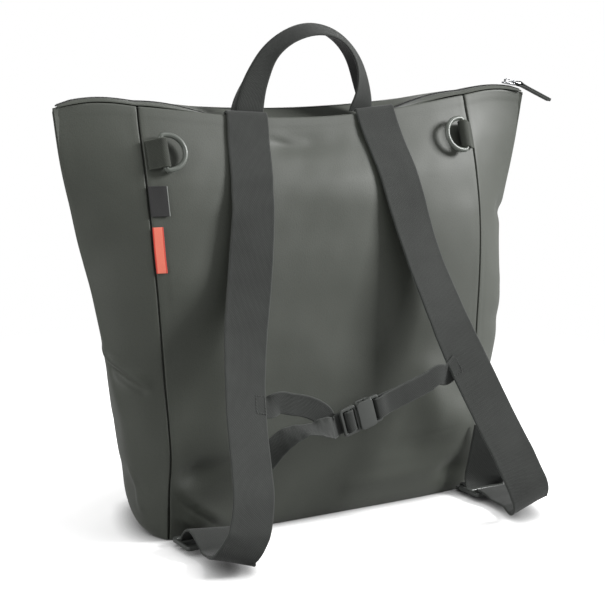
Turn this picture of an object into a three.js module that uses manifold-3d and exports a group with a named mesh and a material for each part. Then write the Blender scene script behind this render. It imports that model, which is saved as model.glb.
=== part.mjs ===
// A tote-shaped changing backpack, standing on its base with the strap side towards -Y.
// Millimetres, +Z up, +X to the wearer's right as the strap side is looked at.
// The origin is the middle of the base where it meets the floor.
import * as THREE from "three";
import { mergeVertices } from "three/addons/utils/BufferGeometryUtils.js";
import Module from "manifold-3d";

const wasm = await Module();
wasm.setup();

// The bag
const BODY_HEIGHT = 371; // floor to the corners of the wings
const WING_HALF = 238.5; // middle to the corner of a wing
const PANEL_HALF = 165.5; // middle to the side seam of the back panel at the top
const HALF_DEPTH = 68; // half the depth of the base
const CLOTH = 2; // coated cloth with its backing
const MOUTH_SAG = 14; // how far the back edge of the mouth sags
const FRONT_SAG = 9.5; // how far its front edge sags
const WING_ARCH = 4; // how far the mouth's edges arch up along the wings
const FRONT_RISE = 2; // the front edge above the back one
const GAP = 0.3; // between pieces that touch
const CORNER_MITRE = 13; // longest mitre inside a pinched wing

// The closure along the mouth
const FACING_THICK = 1.2;
const ZIPPER_WIDTH = 6;
const COIL_RISE = 1.3;
const FACING_NARROW = 1.9; // width of a facing at the corners
const ZIP_RECESS = 6; // depth of the zip below the back edge at the middle
const CLOSURE_HALF = 235.5;

// The front pocket
const POCKET_FOOT = 0.065; // its lower and upper edges as shares of the body's height
const POCKET_RISE = 0.77;
const POCKET_BULGE = 15;
const POCKET_MOUTH = 9;

// Webbing
const WEB_WIDTH = 40;
const WEB_THICK = 2;
const STRAP_REACH = 117; // how far the straps stand out in front of the base
const STRAP_TOP = 65; // middle to the middle of a strap where it is sewn in
const STRAP_SWING = 13; // how far both straps' lower ends swing to the right
const TAIL_LENGTH = 55; // the right strap's loose end above its adjuster
const TAIL_LEAN = 9; // degrees to the right
const LOOP_WIDTH = 25;
const LOOP_THICK = 1.6;
const LOOP_LENGTH = 13.6;
const HANDLE_WIDTH = 38;
const HANDLE_THICK = 2;
const HANDLE_RISE = 66.5; // top of the handle above the corners of the wings
const HANDLE_HALF = 72.5; // middle to the outside of the left leg
const CHEST_WIDTH = 19;
const CHEST_THICK = 1.3;
const CHEST_HEIGHT = 132; // where the chest strap is sewn to the shoulder straps
const CHEST_REACH = 65; // how far its buckle stands out in front of the base

// Hardware
const RING_WIRE = 4;
const RING_DEPTH = 19.7; // bar to the far side of the bow, between wire centres
const RING_HALF = 15; // half the ring's height, between wire centres
const RING_LEAN = 19; // degrees that the rings' bars lean with the panel
const WIRE_PLAY = 0.7;
const SLIDER_PLACE = 222.5; // middle of the bag to the middle of the slider
const SLIDER_LENGTH = 14;
const SLIDER_WIDTH = 7;
const SLIDER_PLATE = 1.8;
const BRIDGE_RISE = 3.6;
const LINK_WIRE = 1.2;
const LINK_LENGTH = 8.3;
const LINK_DROOP = 13; // degrees below level
const TAB_DROOP = 24;
const TAB_LENGTH = 41;
const TAB_WIDTH = 7;
const TAB_THICK = 3.6;
const BUCKLE_LENGTH = 40;
const BUCKLE_WIDTH = 25;
const BUCKLE_THICK = 7.6;
const BUCKLE_TILT = 16;
const BUCKLE_FRAME = 3.4; // thickness of the frames that the webbing runs through
const ADJUSTER_WIDTH = 46;
const ADJUSTER_LENGTH = 31;
const ADJUSTER_THICK = 4;
const ADJUSTER_BAR = 5;
const ADJUSTER_REACH = 28.5; // base's back edge to the middle of an adjuster
const ADJUSTER_SPREAD = 149; // middle of the bag to the middle of an adjuster
const ADJUSTER_LEVEL = 6.2;
const ADJUSTER_LOOP = 20; // width of the webbing that ties it to the bag
const CORNER_LOOP = 146; // middle of the bag to the middle of that webbing, where it can be

// Labels in the left side seam
const LABEL_THICK = 0.8;
const DARK_LABEL = { wide: 16, tall: 25, level: 294 };
const CORAL_LABEL = { wide: 9, tall: 38, level: 254 };

const SHADES = {
  cloth: { color: 0x4d5048, roughness: 0.62, metalness: 0 },
  webbing: { color: 0x484a46, roughness: 0.9, metalness: 0 },
  lacquer: { color: 0x5d625b, roughness: 0.4, metalness: 0.6 },
  plastic: { color: 0x3c3f3c, roughness: 0.45, metalness: 0 },
  silver: { color: 0xb9bcc0, roughness: 0.25, metalness: 1 },
  dark: { color: 0x151515, roughness: 0.8, metalness: 0 },
  coral: { color: 0xe0705c, roughness: 0.8, metalness: 0 },
};

const bag = new THREE.Group();
const V = (x, y, z) => new THREE.Vector3(x, y, z);
const radians = THREE.MathUtils.degToRad;
const smooth = (low, high, x) => THREE.MathUtils.smoothstep(x, low, high);
const mix = THREE.MathUtils.lerp;

function add(name, geometry, shade, parent = bag) {
  const mesh = new THREE.Mesh(geometry, new THREE.MeshStandardMaterial(SHADES[shade]));
  mesh.name = name;
  parent.add(mesh);
  return mesh;
}

// A group whose X and Y lie along the given directions.
function aligned(origin, x, y, parent = bag) {
  const group = new THREE.Group();
  const z = x.clone().cross(y);
  group.quaternion.setFromRotationMatrix(new THREE.Matrix4().makeBasis(x, y, z));
  group.position.copy(origin);
  parent.add(group);
  return group;
}

function turned(parent, x, degrees) {
  const group = new THREE.Group();
  group.position.x = x;
  group.rotation.y = radians(degrees);
  parent.add(group);
  return group;
}

// Tables and curves
function table(columns, rows) {
  return rows.map((row) => Object.fromEntries(columns.map((name, i) => [name, row[i]])));
}

// A smooth curve through one column of a table, with no overshoot between its rows.
function column(rows, name, key) {
  const x = rows.map((row) => row[key]);
  const y = rows.map((row) => row[name]);
  const rise = x.slice(1).map((value, i) => (y[i + 1] - y[i]) / (value - x[i]));
  const slope = x.map((_, i) => {
    if (i === 0) return rise[0];
    if (i === x.length - 1) return rise[i - 1];
    if (rise[i - 1] * rise[i] <= 0) return 0;
    return (2 * rise[i - 1] * rise[i]) / (rise[i - 1] + rise[i]);
  });
  return (at) => {
    let i = x.findIndex((value) => value > at) - 1;
    if (at >= x[x.length - 1]) return y[y.length - 1];
    if (i < 0) i = 0;
    const h = x[i + 1] - x[i];
    const t = (at - x[i]) / h;
    const a = 2 * t ** 3 - 3 * t ** 2 + 1;
    const b = t ** 3 - 2 * t ** 2 + t;
    const c = -2 * t ** 3 + 3 * t ** 2;
    const d = t ** 3 - t ** 2;
    return a * y[i] + b * h * slope[i] + c * y[i + 1] + d * h * slope[i + 1];
  };
}

function curves(rows, key) {
  const names = Object.keys(rows[0]).filter((name) => name !== key);
  const parts = Object.fromEntries(names.map((name) => [name, column(rows, name, key)]));
  return (at) => Object.fromEntries(names.map((name) => [name, parts[name](at)]));
}

// One body from loose triangles, with its faces turned outwards.
function body(triangles) {
  const edge = V(0, 0, 0);
  const volume = triangles.reduce((sum, [a, b, c]) => sum + edge.crossVectors(b, c).dot(a), 0);
  const faces = volume < 0 ? triangles.map(([a, b, c]) => [a, c, b]) : triangles;
  const geometry = new THREE.BufferGeometry().setFromPoints(faces.flat());
  geometry.computeVertexNormals();
  return geometry;
}

// A closed sheet between two grids of points.
function sheet(outer, inner) {
  const triangles = [];
  const quad = (a, b, c, d) => triangles.push([a, b, c], [a, c, d]);
  const last = outer.length - 1;
  const end = outer[0].length - 1;
  for (let j = 0; j < last; j++)
    for (let i = 0; i < end; i++) {
      quad(outer[j][i], outer[j][i + 1], outer[j + 1][i + 1], outer[j + 1][i]);
      quad(inner[j][i], inner[j + 1][i], inner[j + 1][i + 1], inner[j][i + 1]);
    }
  for (let i = 0; i < end; i++) {
    quad(outer[0][i + 1], outer[0][i], inner[0][i], inner[0][i + 1]);
    quad(outer[last][i], outer[last][i + 1], inner[last][i + 1], inner[last][i]);
  }
  for (let j = 0; j < last; j++) {
    quad(outer[j][0], outer[j + 1][0], inner[j + 1][0], inner[j][0]);
    quad(outer[j + 1][end], outer[j][end], inner[j][end], inner[j + 1][end]);
  }
  return body(triangles);
}

// A flat outline given a thickness along its own Z, centred on it.
function plate(shape, thick, steps = 6) {
  const geometry = new THREE.ExtrudeGeometry(shape, {
    depth: thick,
    bevelEnabled: false,
    curveSegments: steps,
  });
  return geometry.translate(0, 0, -thick / 2);
}

// A side view in X and Z, given a width along Y.
function sideways(shape, wide, steps = 6) {
  return plate(shape, wide, steps).rotateX(Math.PI / 2);
}

function box(x0, x1, wide, thick) {
  return new THREE.BoxGeometry(x1 - x0, wide, thick).translate((x0 + x1) / 2, 0, 0);
}

// A closed wire through the points of a flat loop.
function wire(points, diameter, steps, sides) {
  const curve = new THREE.CatmullRomCurve3(points, true);
  return new THREE.TubeGeometry(curve, steps, diameter / 2, sides, true);
}

function roundedRectangle(wide, tall, radius) {
  const shape = new THREE.Shape();
  const x = wide / 2 - radius;
  const y = tall / 2 - radius;
  shape.absarc(x, -y, radius, -Math.PI / 2, 0);
  shape.absarc(x, y, radius, 0, Math.PI / 2);
  shape.absarc(-x, y, radius, Math.PI / 2, Math.PI);
  shape.absarc(-x, -y, radius, Math.PI, 1.5 * Math.PI);
  return shape;
}

function solid(geometry) {
  const bare = geometry.clone();
  bare.deleteAttribute("normal");
  bare.deleteAttribute("uv");
  const merged = mergeVertices(bare, 1e-4);
  const triVerts = new Uint32Array(merged.index.array);
  const vertProperties = merged.attributes.position.array;
  return new wasm.Manifold(new wasm.Mesh({ numProp: 3, vertProperties, triVerts }));
}

function meshed(manifold) {
  const made = manifold.getMesh();
  const geometry = new THREE.BufferGeometry();
  geometry.setAttribute("position", new THREE.BufferAttribute(made.vertProperties, 3));
  geometry.setIndex(new THREE.BufferAttribute(made.triVerts, 1));
  return geometry;
}

// Sections of the bag from the floor up. Heights are shares of BODY_HEIGHT, widths of PANEL_HALF or
// WING_HALF, depths of HALF_DEPTH with the back negative. round is 1 where a side is a soft
// bulge and 0 where it is folded flat.
const LEVELS = table(
  ["up", "seamX", "seamY", "foldX", "foldY", "frontX", "frontY", "backMid", "frontMid", "round"],
  [
    [0.0, 0.94, -0.985, 0.671, -0.47, 0.76, 0.26, -1.07, 0.44, 1],
    [0.022, 0.946, -1.03, 0.704, -0.47, 0.846, 0.56, -1.13, 0.76, 1],
    [0.065, 0.955, -1.09, 0.725, -0.49, 0.882, 0.7, -1.18, 0.97, 1],
    [0.13, 0.965, -1.165, 0.742, -0.53, 0.888, 0.77, -1.235, 1.06, 1],
    [0.2, 0.958, -1.19, 0.771, -0.6, 0.9, 0.78, -1.26, 1.09, 1],
    [0.28, 0.961, -1.155, 0.797, -0.65, 0.912, 0.74, -1.25, 1.06, 1],
    [0.388, 0.97, -1.095, 0.828, -0.68, 0.93, 0.65, -1.22, 0.97, 0.85],
    [0.566, 0.993, -1.07, 0.876, -0.59, 0.96, 0.44, -1.18, 0.74, 0.55],
    [0.712, 1.008, -0.993, 0.914, -0.46, 0.978, 0.235, -1.1, 0.5, 0.3],
    [0.82, 1.01, -0.875, 0.954, -0.463, 0.991, 0.045, -0.985, 0.29, 0.15],
    [0.887, 1.008, -0.774, 0.976, -0.466, 0.994, -0.09, -0.86, 0.13, 0.08],
    [0.954, 1.004, -0.641, 0.992, -0.475, 0.997, -0.22, -0.71, -0.015, 0.03],
    [1.0, 1.0, -0.566, 1.0, -0.485, 1.0, -0.31, -0.62, -0.12, 0],
  ],
);
const levelAt = curves(LEVELS, "up");
const ROWS = [
  0, 0.01, 0.03, 0.065, 0.11, 0.165, 0.23, 0.3, 0.38, 0.46, 0.54, 0.62, 0.7, 0.77, 0.83, 0.885,
  0.93, 0.97, 1,
];

// Soft dents and bulges: where on a panel they lie, how far they spread and how deep they go in.
// across runs from -1 to 1 over a panel, or from 0 to 1 over a side from its back seam.
const DENTS = table(
  ["panel", "across", "up", "spreadAcross", "spreadUp", "depth"],
  [
    ["back", -0.84, 0.165, 0.1, 0.035, 5],
    ["back", -0.8, 0.05, 0.16, 0.035, -3],
    ["back", 0.86, 0.2, 0.12, 0.06, -4],
    ["back", 0.82, 0.07, 0.1, 0.03, 4],
    ["back", -0.12, 0.93, 0.2, 0.03, 3],
    ["back", 0.1, 0.8, 0.3, 0.07, -3],
    ["back", 0.0, 0.45, 0.35, 0.12, 3],
    ["gusset_left", 0.3, 0.41, 0.16, 0.03, 3],
    ["gusset_left", 0.45, 0.12, 0.2, 0.03, 3],
    ["gusset_right", 0.3, 0.43, 0.16, 0.03, 3],
    ["front", 0.0, 0.85, 0.5, 0.06, 3],
  ],
);

function dent(panel, across, up) {
  return DENTS.filter((row) => row.panel === panel).reduce((sum, row) => {
    const a = (across - row.across) / row.spreadAcross;
    const b = (up - row.up) / row.spreadUp;
    return sum + row.depth * Math.exp(-a * a - b * b);
  }, 0);
}

const FOLD_AT = 0.45; // share of a side's width from its back seam to its fold
const RISE_AFTER = 0.22; // share of its front half over which the mouth's front edge rises
const BACK_FLATNESS = 5;
const FRONT_FLATNESS = 2.4;

function section(up) {
  const row = levelAt(up);
  return {
    seam: V(row.seamX * PANEL_HALF, row.seamY * HALF_DEPTH, 0),
    fold: V(row.foldX * WING_HALF, row.foldY * HALF_DEPTH, 0),
    front: V(row.frontX * PANEL_HALF, row.frontY * HALF_DEPTH, 0),
    backMid: row.backMid * HALF_DEPTH,
    frontMid: row.frontMid * HALF_DEPTH,
    round: row.round,
  };
}

// How far the edge of the mouth hangs below the corners of the wings.
function sag(depth, x) {
  return depth * Math.max(0, 1 - (x / PANEL_HALF) ** 2) ** 1.3;
}

// A point of the bag's outside. side is 1 on the right and -1 on the left.
function skin(panel, across, up, side = 1) {
  const { seam, fold, front, backMid, frontMid, round } = section(up);
  const nearTop = smooth(0.72, 1, up);
  const level = up * BODY_HEIGHT;
  const rise = FRONT_RISE * nearTop;
  if (panel === "back") {
    const x = seam.x * across;
    const y = mix(backMid, seam.y, Math.abs(across) ** BACK_FLATNESS);
    return V(x, y + dent(panel, across, up), level - nearTop * sag(MOUTH_SAG, x));
  }
  if (panel === "front") {
    const x = front.x * across;
    const y = mix(frontMid, front.y, Math.abs(across) ** FRONT_FLATNESS);
    return V(x, y - dent(panel, across, up), level + rise - nearTop * sag(FRONT_SAG, x));
  }
  const chord = front.clone().sub(seam).normalize();
  const behind = across <= FOLD_AT;
  const from = behind ? seam : fold;
  const to = behind ? fold : front;
  const t = behind ? across / FOLD_AT : (across - FOLD_AT) / (1 - FOLD_AT);
  const reach = to.clone().sub(from).dot(chord) * (behind ? -0.6 : 0.35);
  const bulged = fold.clone().addScaledVector(chord, reach);
  const middle = from.clone().lerp(to, 0.5).lerp(bulged, round);
  const point = from
    .clone()
    .multiplyScalar((1 - t) ** 2)
    .addScaledVector(middle, 2 * t * (1 - t))
    .addScaledVector(to, t * t);
  const name = side < 0 ? "gusset_left" : "gusset_right";
  const out = behind ? t : 1 - t;
  const arch = WING_ARCH * smooth(0.85, 1, up) * Math.sin(Math.PI * out);
  const ahead = behind ? 0 : rise * Math.min(1, t / RISE_AFTER);
  return V(side * (point.x - dent(name, across, up)), point.y, level + arch + ahead);
}

// The outward normal of a panel, taken from its own side of any seam or fold.
function normal(panel, across, up, side = 1, towards = 0) {
  const step = 0.004;
  const low = panel === "gusset" ? 0 : -1;
  let a = Math.max(low, across - step);
  let b = Math.min(1, across + step);
  if (towards > 0) a = across;
  if (towards < 0) b = across;
  const down = Math.max(0, up - step);
  const above = Math.min(1, up + step);
  const along = skin(panel, b, up, side).sub(skin(panel, a, up, side));
  const rising = skin(panel, across, above, side).sub(skin(panel, across, down, side));
  const made = along.cross(rising).normalize();
  if (panel === "front") made.negate();
  if (panel === "gusset" && side < 0) made.negate();
  return made;
}

// The step from the outside to the inside of a wall that turns a corner between two normals.
function mitre(one, other, wall) {
  const sum = one.clone().add(other);
  const length = wall / Math.sqrt(Math.max(1e-6, (1 + one.dot(other)) / 2));
  return sum.normalize().multiplyScalar(-Math.min(length, CORNER_MITRE));
}

function inwards(panel, across, up, side = 1) {
  const own = (towards) => normal(panel, across, up, side, towards);
  if (panel === "gusset") {
    if (across === 0) return mitre(own(1), normal("back", side, up, 1, -side), CLOTH);
    if (across === 1) return mitre(own(-1), normal("front", side, up, 1, -side), CLOTH);
    if (across === FOLD_AT) return mitre(own(-1), own(1), CLOTH);
    return own(0).multiplyScalar(-CLOTH);
  }
  if (Math.abs(across) < 1) return own(0).multiplyScalar(-CLOTH);
  const edge = panel === "back" ? 0 : 1;
  const next = normal("gusset", edge, up, across, edge === 0 ? 1 : -1);
  return mitre(own(-across), next, CLOTH);
}

// A panel's two faces as grids, drawn back by half a gap from its seams.
function panelSheet(panel, stations, side = 1) {
  const low = stations[0];
  const high = stations[stations.length - 1];
  const outer = [];
  const inner = [];
  for (const up of ROWS) {
    const wide = skin(panel, low, up, side).distanceTo(skin(panel, high, up, side));
    const trim = (GAP * (high - low)) / wide / 1.25;
    const place = (s) => (s === low ? s + trim : s === high ? s - trim : s);
    const row = stations.map((s) => skin(panel, place(s), up, side));
    const within = stations.map((s, i) => row[i].clone().add(inwards(panel, s, up, side)));
    if (up === 0 || up === 1) within.forEach((point, i) => point.setZ(row[i].z));
    outer.push(row);
    inner.push(within);
  }
  return sheet(outer, inner);
}

const PANEL_STATIONS = [
  -1, -0.95, -0.88, -0.78, -0.64, -0.48, -0.32, -0.16, 0, 0.16, 0.32, 0.48, 0.64, 0.78, 0.88, 0.95, 1,
];
const GUSSET_STATIONS = [0, 0.25, 0.5, 0.75, 1]
  .map((share) => share * FOLD_AT)
  .concat([RISE_AFTER, 0.42, 0.62, 0.82, 1].map((share) => FOLD_AT + share * (1 - FOLD_AT)));
GUSSET_STATIONS[4] = FOLD_AT;
GUSSET_STATIONS[9] = 1;

function makeBody() {
  add("back_panel", panelSheet("back", PANEL_STATIONS), "cloth");
  add("front_panel", panelSheet("front", PANEL_STATIONS), "cloth");
  add("gusset_left", panelSheet("gusset", GUSSET_STATIONS, -1), "cloth");
  add("gusset_right", panelSheet("gusset", GUSSET_STATIONS, 1), "cloth");
}

// The base lies on the floor inside the foot of the walls.
function makeBase() {
  const foot = (panel, across, side = 1) => {
    const point = skin(panel, across, 0, side);
    const step = inwards(panel, across, 0, side).setZ(0);
    const length = step.length();
    return point.addScaledVector(step, (length + GAP) / Math.max(length, GAP));
  };
  const back = PANEL_STATIONS.slice(1, -1).map((s) => foot("back", s));
  const right = GUSSET_STATIONS.slice(0, -1).map((s) => foot("gusset", s, 1));
  const front = PANEL_STATIONS.slice(1, -1).map((s) => foot("front", -s));
  const left = GUSSET_STATIONS.slice(0, -1).map((s) => foot("gusset", s, -1));
  const outline = [...back, ...right, ...front, ...left.reverse()];
  const shape = new THREE.Shape(outline.map((p) => new THREE.Vector2(p.x, p.y)));
  add("base_panel", plate(shape, CLOTH).translate(0, 0, CLOTH / 2), "cloth");
}

// The front pocket is a bellows sheet on the front panel, open along its top edge.
function makePocket() {
  const stations = PANEL_STATIONS.slice(1, -1);
  const rows = ROWS.filter((up) => up > POCKET_FOOT - 0.01 && up < POCKET_RISE + 0.01);
  const edge = stations[stations.length - 1];
  const layer = (extra) =>
    rows.map((up) =>
      stations.map((across) => {
        const climb = (up - rows[0]) / (rows[rows.length - 1] - rows[0]);
        const height = mix(POCKET_BULGE, POCKET_MOUTH, climb ** 2) * (1 - (1 - climb) ** 6);
        const lift = height * (1 - Math.abs(across / edge) ** 8) + 1.5 * GAP + extra;
        return skin("front", across, up).addScaledVector(normal("front", across, up), lift);
      }),
    );
  add("front_pocket", sheet(layer(CLOTH), layer(0)), "cloth");
}

// The edges of the mouth at a distance x from the middle.
function mouth(x) {
  const far = Math.abs(x);
  const { seam, fold, front } = section(1);
  if (far <= seam.x) {
    const back = skin("back", x / seam.x, 1);
    const ahead = skin("front", x / front.x, 1);
    return { back, front: ahead };
  }
  const share = (far - seam.x) / (fold.x - seam.x);
  const ahead = (far - front.x) / (fold.x - front.x);
  return {
    back: skin("gusset", share * FOLD_AT, 1, Math.sign(x)),
    front: skin("gusset", 1 - ahead * (1 - FOLD_AT), 1, Math.sign(x)),
  };
}

// The closure lies between the walls at the middle and on top of them along the wings.
function closure(x) {
  const far = Math.abs(x);
  const { back, front } = mouth(x);
  const onTop = smooth(0.8 * PANEL_HALF, 0.94 * PANEL_HALF, far);
  const spread = smooth(0.94 * PANEL_HALF, 1.06 * PANEL_HALF, far);
  const middle = (back.y + front.y) / 2;
  const least = ZIPPER_WIDTH / 4 + GAP + FACING_NARROW;
  const inset = mix(CLOTH + GAP, 0, spread);
  const backY = Math.min(back.y + inset, middle - least);
  const frontY = Math.max(front.y - inset, middle + least);
  const half = mix(ZIPPER_WIDTH / 2, ZIPPER_WIDTH / 4, smooth(0.5, 1, far / WING_HALF));
  const zipY = mix(mix(backY, frontY, 0.42), middle, onTop);
  const above = 2 * GAP + FACING_THICK;
  const dip = 1 - (x / PANEL_HALF) ** 2;
  const backZ = back.z + mix(-1.5, above, onTop);
  const frontZ = front.z + mix(-1, above, onTop);
  const low = back.z - ZIP_RECESS * Math.max(dip, 0.25);
  const zipZ = mix(low, front.z + above, onTop);
  return { backY, frontY, half, zipY, backZ, frontZ, zipZ };
}

const CLOSURE_STATIONS = [
  -1, -0.965, -0.942, -0.9, -0.82, -0.74, -0.69, -0.65, -0.6, -0.55, -0.48, -0.36, -0.24, -0.12, 0, 0.12,
  0.24, 0.36, 0.48, 0.55, 0.6, 0.65, 0.69, 0.74, 0.82, 0.9, 0.942, 0.965, 1,
];

function makeClosure() {
  const grid = (ends) =>
    CLOSURE_STATIONS.map((share) => {
      const x = share * CLOSURE_HALF;
      return ends(closure(x)).map(([y, z]) => V(x, y, z));
    });
  const lowered = (rows) => rows.map((row) => row.map((p) => V(p.x, p.y, p.z - FACING_THICK)));
  const back = grid((c) => [
    [c.backY, c.backZ],
    [c.zipY - c.half - GAP, c.zipZ],
  ]);
  const front = grid((c) => [
    [c.zipY + c.half + GAP, c.zipZ],
    [c.frontY, c.frontZ],
  ]);
  add("zip_facing_back", sheet(back, lowered(back)), "cloth");
  add("zip_facing_front", sheet(front, lowered(front)), "cloth");
  const teeth = grid((c) => [
    [c.zipY - c.half, c.zipZ],
    [c.zipY - c.half * 0.4, c.zipZ + COIL_RISE],
    [c.zipY + c.half * 0.4, c.zipZ + COIL_RISE],
    [c.zipY + c.half, c.zipZ],
  ]);
  const under = grid((c) =>
    [-1, -0.4, 0.4, 1].map((share) => [c.zipY + c.half * share, c.zipZ - FACING_THICK]),
  );
  add("zipper", sheet(teeth, under), "dark");
}

// A flat strap through stations of a point and a hint of its width direction.
function frames(path) {
  return path.map(({ at, hint, open = 1 }, i) => {
    const before = path[Math.max(0, i - 1)].at;
    const after = path[Math.min(path.length - 1, i + 1)].at;
    const along = after.clone().sub(before).normalize();
    const across = hint.clone().addScaledVector(along, -hint.dot(along)).normalize();
    const out = along.clone().cross(across);
    return { at, along, across, out, open };
  });
}

function strap(path, wide, thick) {
  const made = frames(path);
  const face = (offset) =>
    made.map(({ at, across, out, open }) =>
      [-0.5, 0.5].map((share) =>
        at
          .clone()
          .addScaledVector(across, share * wide * open)
          .addScaledVector(out, offset),
      ),
    );
  return sheet(face(thick / 2), face(-thick / 2));
}

// The way of a shoulder strap below the panel that it lies on. up is a share of BODY_HEIGHT, wide
// of PANEL_HALF, reach of STRAP_REACH in front of the base. turn is how far its outer edge is
// turned towards the bag, tip how far it is tipped up, and swing a share of STRAP_SWING.
const STRAP_WAY = table(
  ["up", "wide", "reach", "turn", "tip", "swing"],
  [
    [0.767, 0.466, 0.082, 0, 0, 0],
    [0.712, 0.489, 0.128, 0.06, 0, 0],
    [0.66, 0.514, 0.172, 0.11, 0, 0],
    [0.604, 0.544, 0.224, 0.1, 0, 0],
    [0.55, 0.578, 0.283, 0.06, 0, 0],
    [0.496, 0.612, 0.345, 0, 0, 0],
    [0.442, 0.643, 0.418, -0.1, 0, 0],
    [0.388, 0.674, 0.502, -0.18, 0, 0],
    [0.334, 0.704, 0.598, -0.2, 0, 0],
    [0.28, 0.731, 0.703, -0.21, 0, 0],
    [0.226, 0.756, 0.815, -0.22, 0, 0],
    [0.173, 0.786, 0.922, -0.18, 0, 0],
    [0.135, 0.812, 0.972, -0.12, 0.05, 0],
    [0.1, 0.842, 1.0, -0.06, 0.12, 0],
    [0.073, 0.872, 0.99, 0, 0.2, 0],
    [0.053, 0.893, 0.962, 0, 0.3, -0.05],
    [0.04, 0.903, 0.915, 0, 0.35, 0],
    [0.035, 0.905, 0.85, 0, 0.34, 0.25],
    [0.033, 0.903, 0.73, 0, 0.27, 0.7],
    [0.024, 0.9, 0.54, 0, 0.13, 1],
  ],
);

function shoulderPath(side) {
  const path = [];
  const x = STRAP_TOP;
  const edge = mouth(x).back;
  const tilt = mouth(x + 10).back.sub(mouth(x - 10).back);
  const hint = V(side * tilt.x, tilt.y, tilt.z).normalize();
  const wallY = edge.y + CLOTH / 2;
  const turn = (CLOTH + WEB_THICK) / 2 + 2 * GAP;
  const top = edge.z + 2 * GAP;
  for (const degrees of [0, 45, 90, 135, 180]) {
    const a = radians(degrees);
    path.push({ at: V(side * x, wallY + turn * Math.cos(a), top + turn * Math.sin(a)), hint });
  }
  const laid = [0.93, 0.9, 0.87, 0.84, 0.81];
  for (const up of laid) {
    const out = mix(STRAP_TOP, STRAP_WAY[0].wide * PANEL_HALF, (1 - up) / (1 - STRAP_WAY[0].up));
    const across = (side * out) / section(up).seam.x;
    const lift = WEB_THICK / 2 + 4 * GAP + 2 * (1 - smooth(0.8, 0.93, up));
    path.push({
      at: skin("back", across, up).addScaledVector(normal("back", across, up), lift),
      hint: V(side, 0, 0),
    });
  }
  for (const row of STRAP_WAY) {
    const y = -HALF_DEPTH - row.reach * STRAP_REACH;
    path.push({
      at: V(side * row.wide * PANEL_HALF + row.swing * STRAP_SWING, y, row.up * BODY_HEIGHT),
      hint: V(side, row.turn, row.tip),
    });
  }
  return path;
}

// A strap's end woven through its adjuster. The left one ends there, between the bars. The right
// one is woven the other way about and its loose end stands up behind the middle bar.
function woven(side) {
  const middle = adjusterPlace(side);
  const pitch = (ADJUSTER_LENGTH - ADJUSTER_BAR) / 2;
  const rise = (ADJUSTER_THICK + WEB_THICK) / 2 + 1.6 * GAP;
  const path = [
    [-pitch - 5, -1],
    [-pitch + 2.2, -1],
    [-pitch + 4.4, -0.75],
    [-4.4, 0.75],
    [-2.2, 1],
    [2.2, 1],
    [4.2, 0.8],
    [side < 0 ? 6 : 5.4, 0.1],
  ].map(([y, z]) => ({
    at: V(middle.x, middle.y + y, middle.z - side * z * rise),
    hint: V(side, 0, 0),
  }));
  if (side < 0) return path;
  for (const share of [0, 0.12, 0.3, 0.5, 0.75, 1]) {
    const lean = radians(TAIL_LEAN) * Math.min(1, 3 * share);
    const up = share * TAIL_LENGTH;
    const over = V(Math.sin(lean), 0, Math.cos(lean)).multiplyScalar(up);
    const at = V(middle.x, middle.y + 5.4 - 9 * share ** 1.5, middle.z + rise).add(over);
    path.push({ at, hint: V(Math.cos(lean), 0, -Math.sin(lean)) });
  }
  return path;
}

function adjusterPlace(side) {
  const x = side * ADJUSTER_SPREAD + STRAP_SWING;
  return V(x, -HALF_DEPTH - ADJUSTER_REACH, ADJUSTER_LEVEL);
}

function makeShoulderStraps() {
  for (const [name, side] of [
    ["left", -1],
    ["right", 1],
  ]) {
    const path = [...shoulderPath(side), ...woven(side)];
    add("shoulder_strap_" + name, strap(path, WEB_WIDTH, WEB_THICK), "webbing");
  }
}

// A plastic three-bar adjuster and the short loop that ties it into the bag's bottom corner.
function makeAdjusters() {
  for (const [name, side] of [
    ["left", -1],
    ["right", 1],
  ]) {
    const place = adjusterPlace(side);
    const shape = roundedRectangle(ADJUSTER_WIDTH, ADJUSTER_LENGTH, 3);
    const half = (WEB_WIDTH + 2 * GAP) / 2;
    const pitch = (ADJUSTER_LENGTH - ADJUSTER_BAR) / 2;
    const slot = pitch - ADJUSTER_BAR;
    for (const middle of [-pitch / 2, pitch / 2]) {
      const hole = new THREE.Path();
      hole.moveTo(-half, middle - slot / 2);
      hole.lineTo(-half, middle + slot / 2);
      hole.lineTo(half, middle + slot / 2);
      hole.lineTo(half, middle - slot / 2);
      hole.closePath();
      shape.holes.push(hole);
    }
    const frame = add("adjuster_" + name, plate(shape, ADJUSTER_THICK, 3), "plastic");
    frame.position.copy(place);

    const inset = (2 * half - ADJUSTER_LOOP) / 2 - GAP;
    const x = place.x - side * Math.min(inset, Math.max(0, side * place.x - CORNER_LOOP));
    const hint = V(side, 0, 0);
    const inner = (Math.abs(x) - ADJUSTER_LOOP / 2) / section(0).seam.x;
    const wall = skin("back", inner, 0.015).y;
    const bar = place.y + pitch;
    const near = ADJUSTER_BAR / 2;
    const high = ADJUSTER_THICK / 2 + GAP + LOOP_THICK / 2;
    const seat = wall - bar - 4 * GAP;
    const path = [
      [seat, -high - 1],
      [near, -high - 0.4],
      [-near - 0.4, -high - 0.2],
      [-near - 1.6, -high + 0.9],
      [-near - 1.6, high - 0.9],
      [-near - 0.4, high + 0.2],
      [near + 0.4, high + 0.2],
      [near + 1.6, high - 0.9],
      [near + 2, 0],
      [near + 2.8, -high + 1.2],
      [seat, -high + LOOP_THICK - 0.5],
    ].map(([y, z]) => ({ at: V(x, bar + y, place.z + z), hint }));
    add("adjuster_loop_" + name, strap(path, ADJUSTER_LOOP, LOOP_THICK), "webbing");
  }
}

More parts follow.
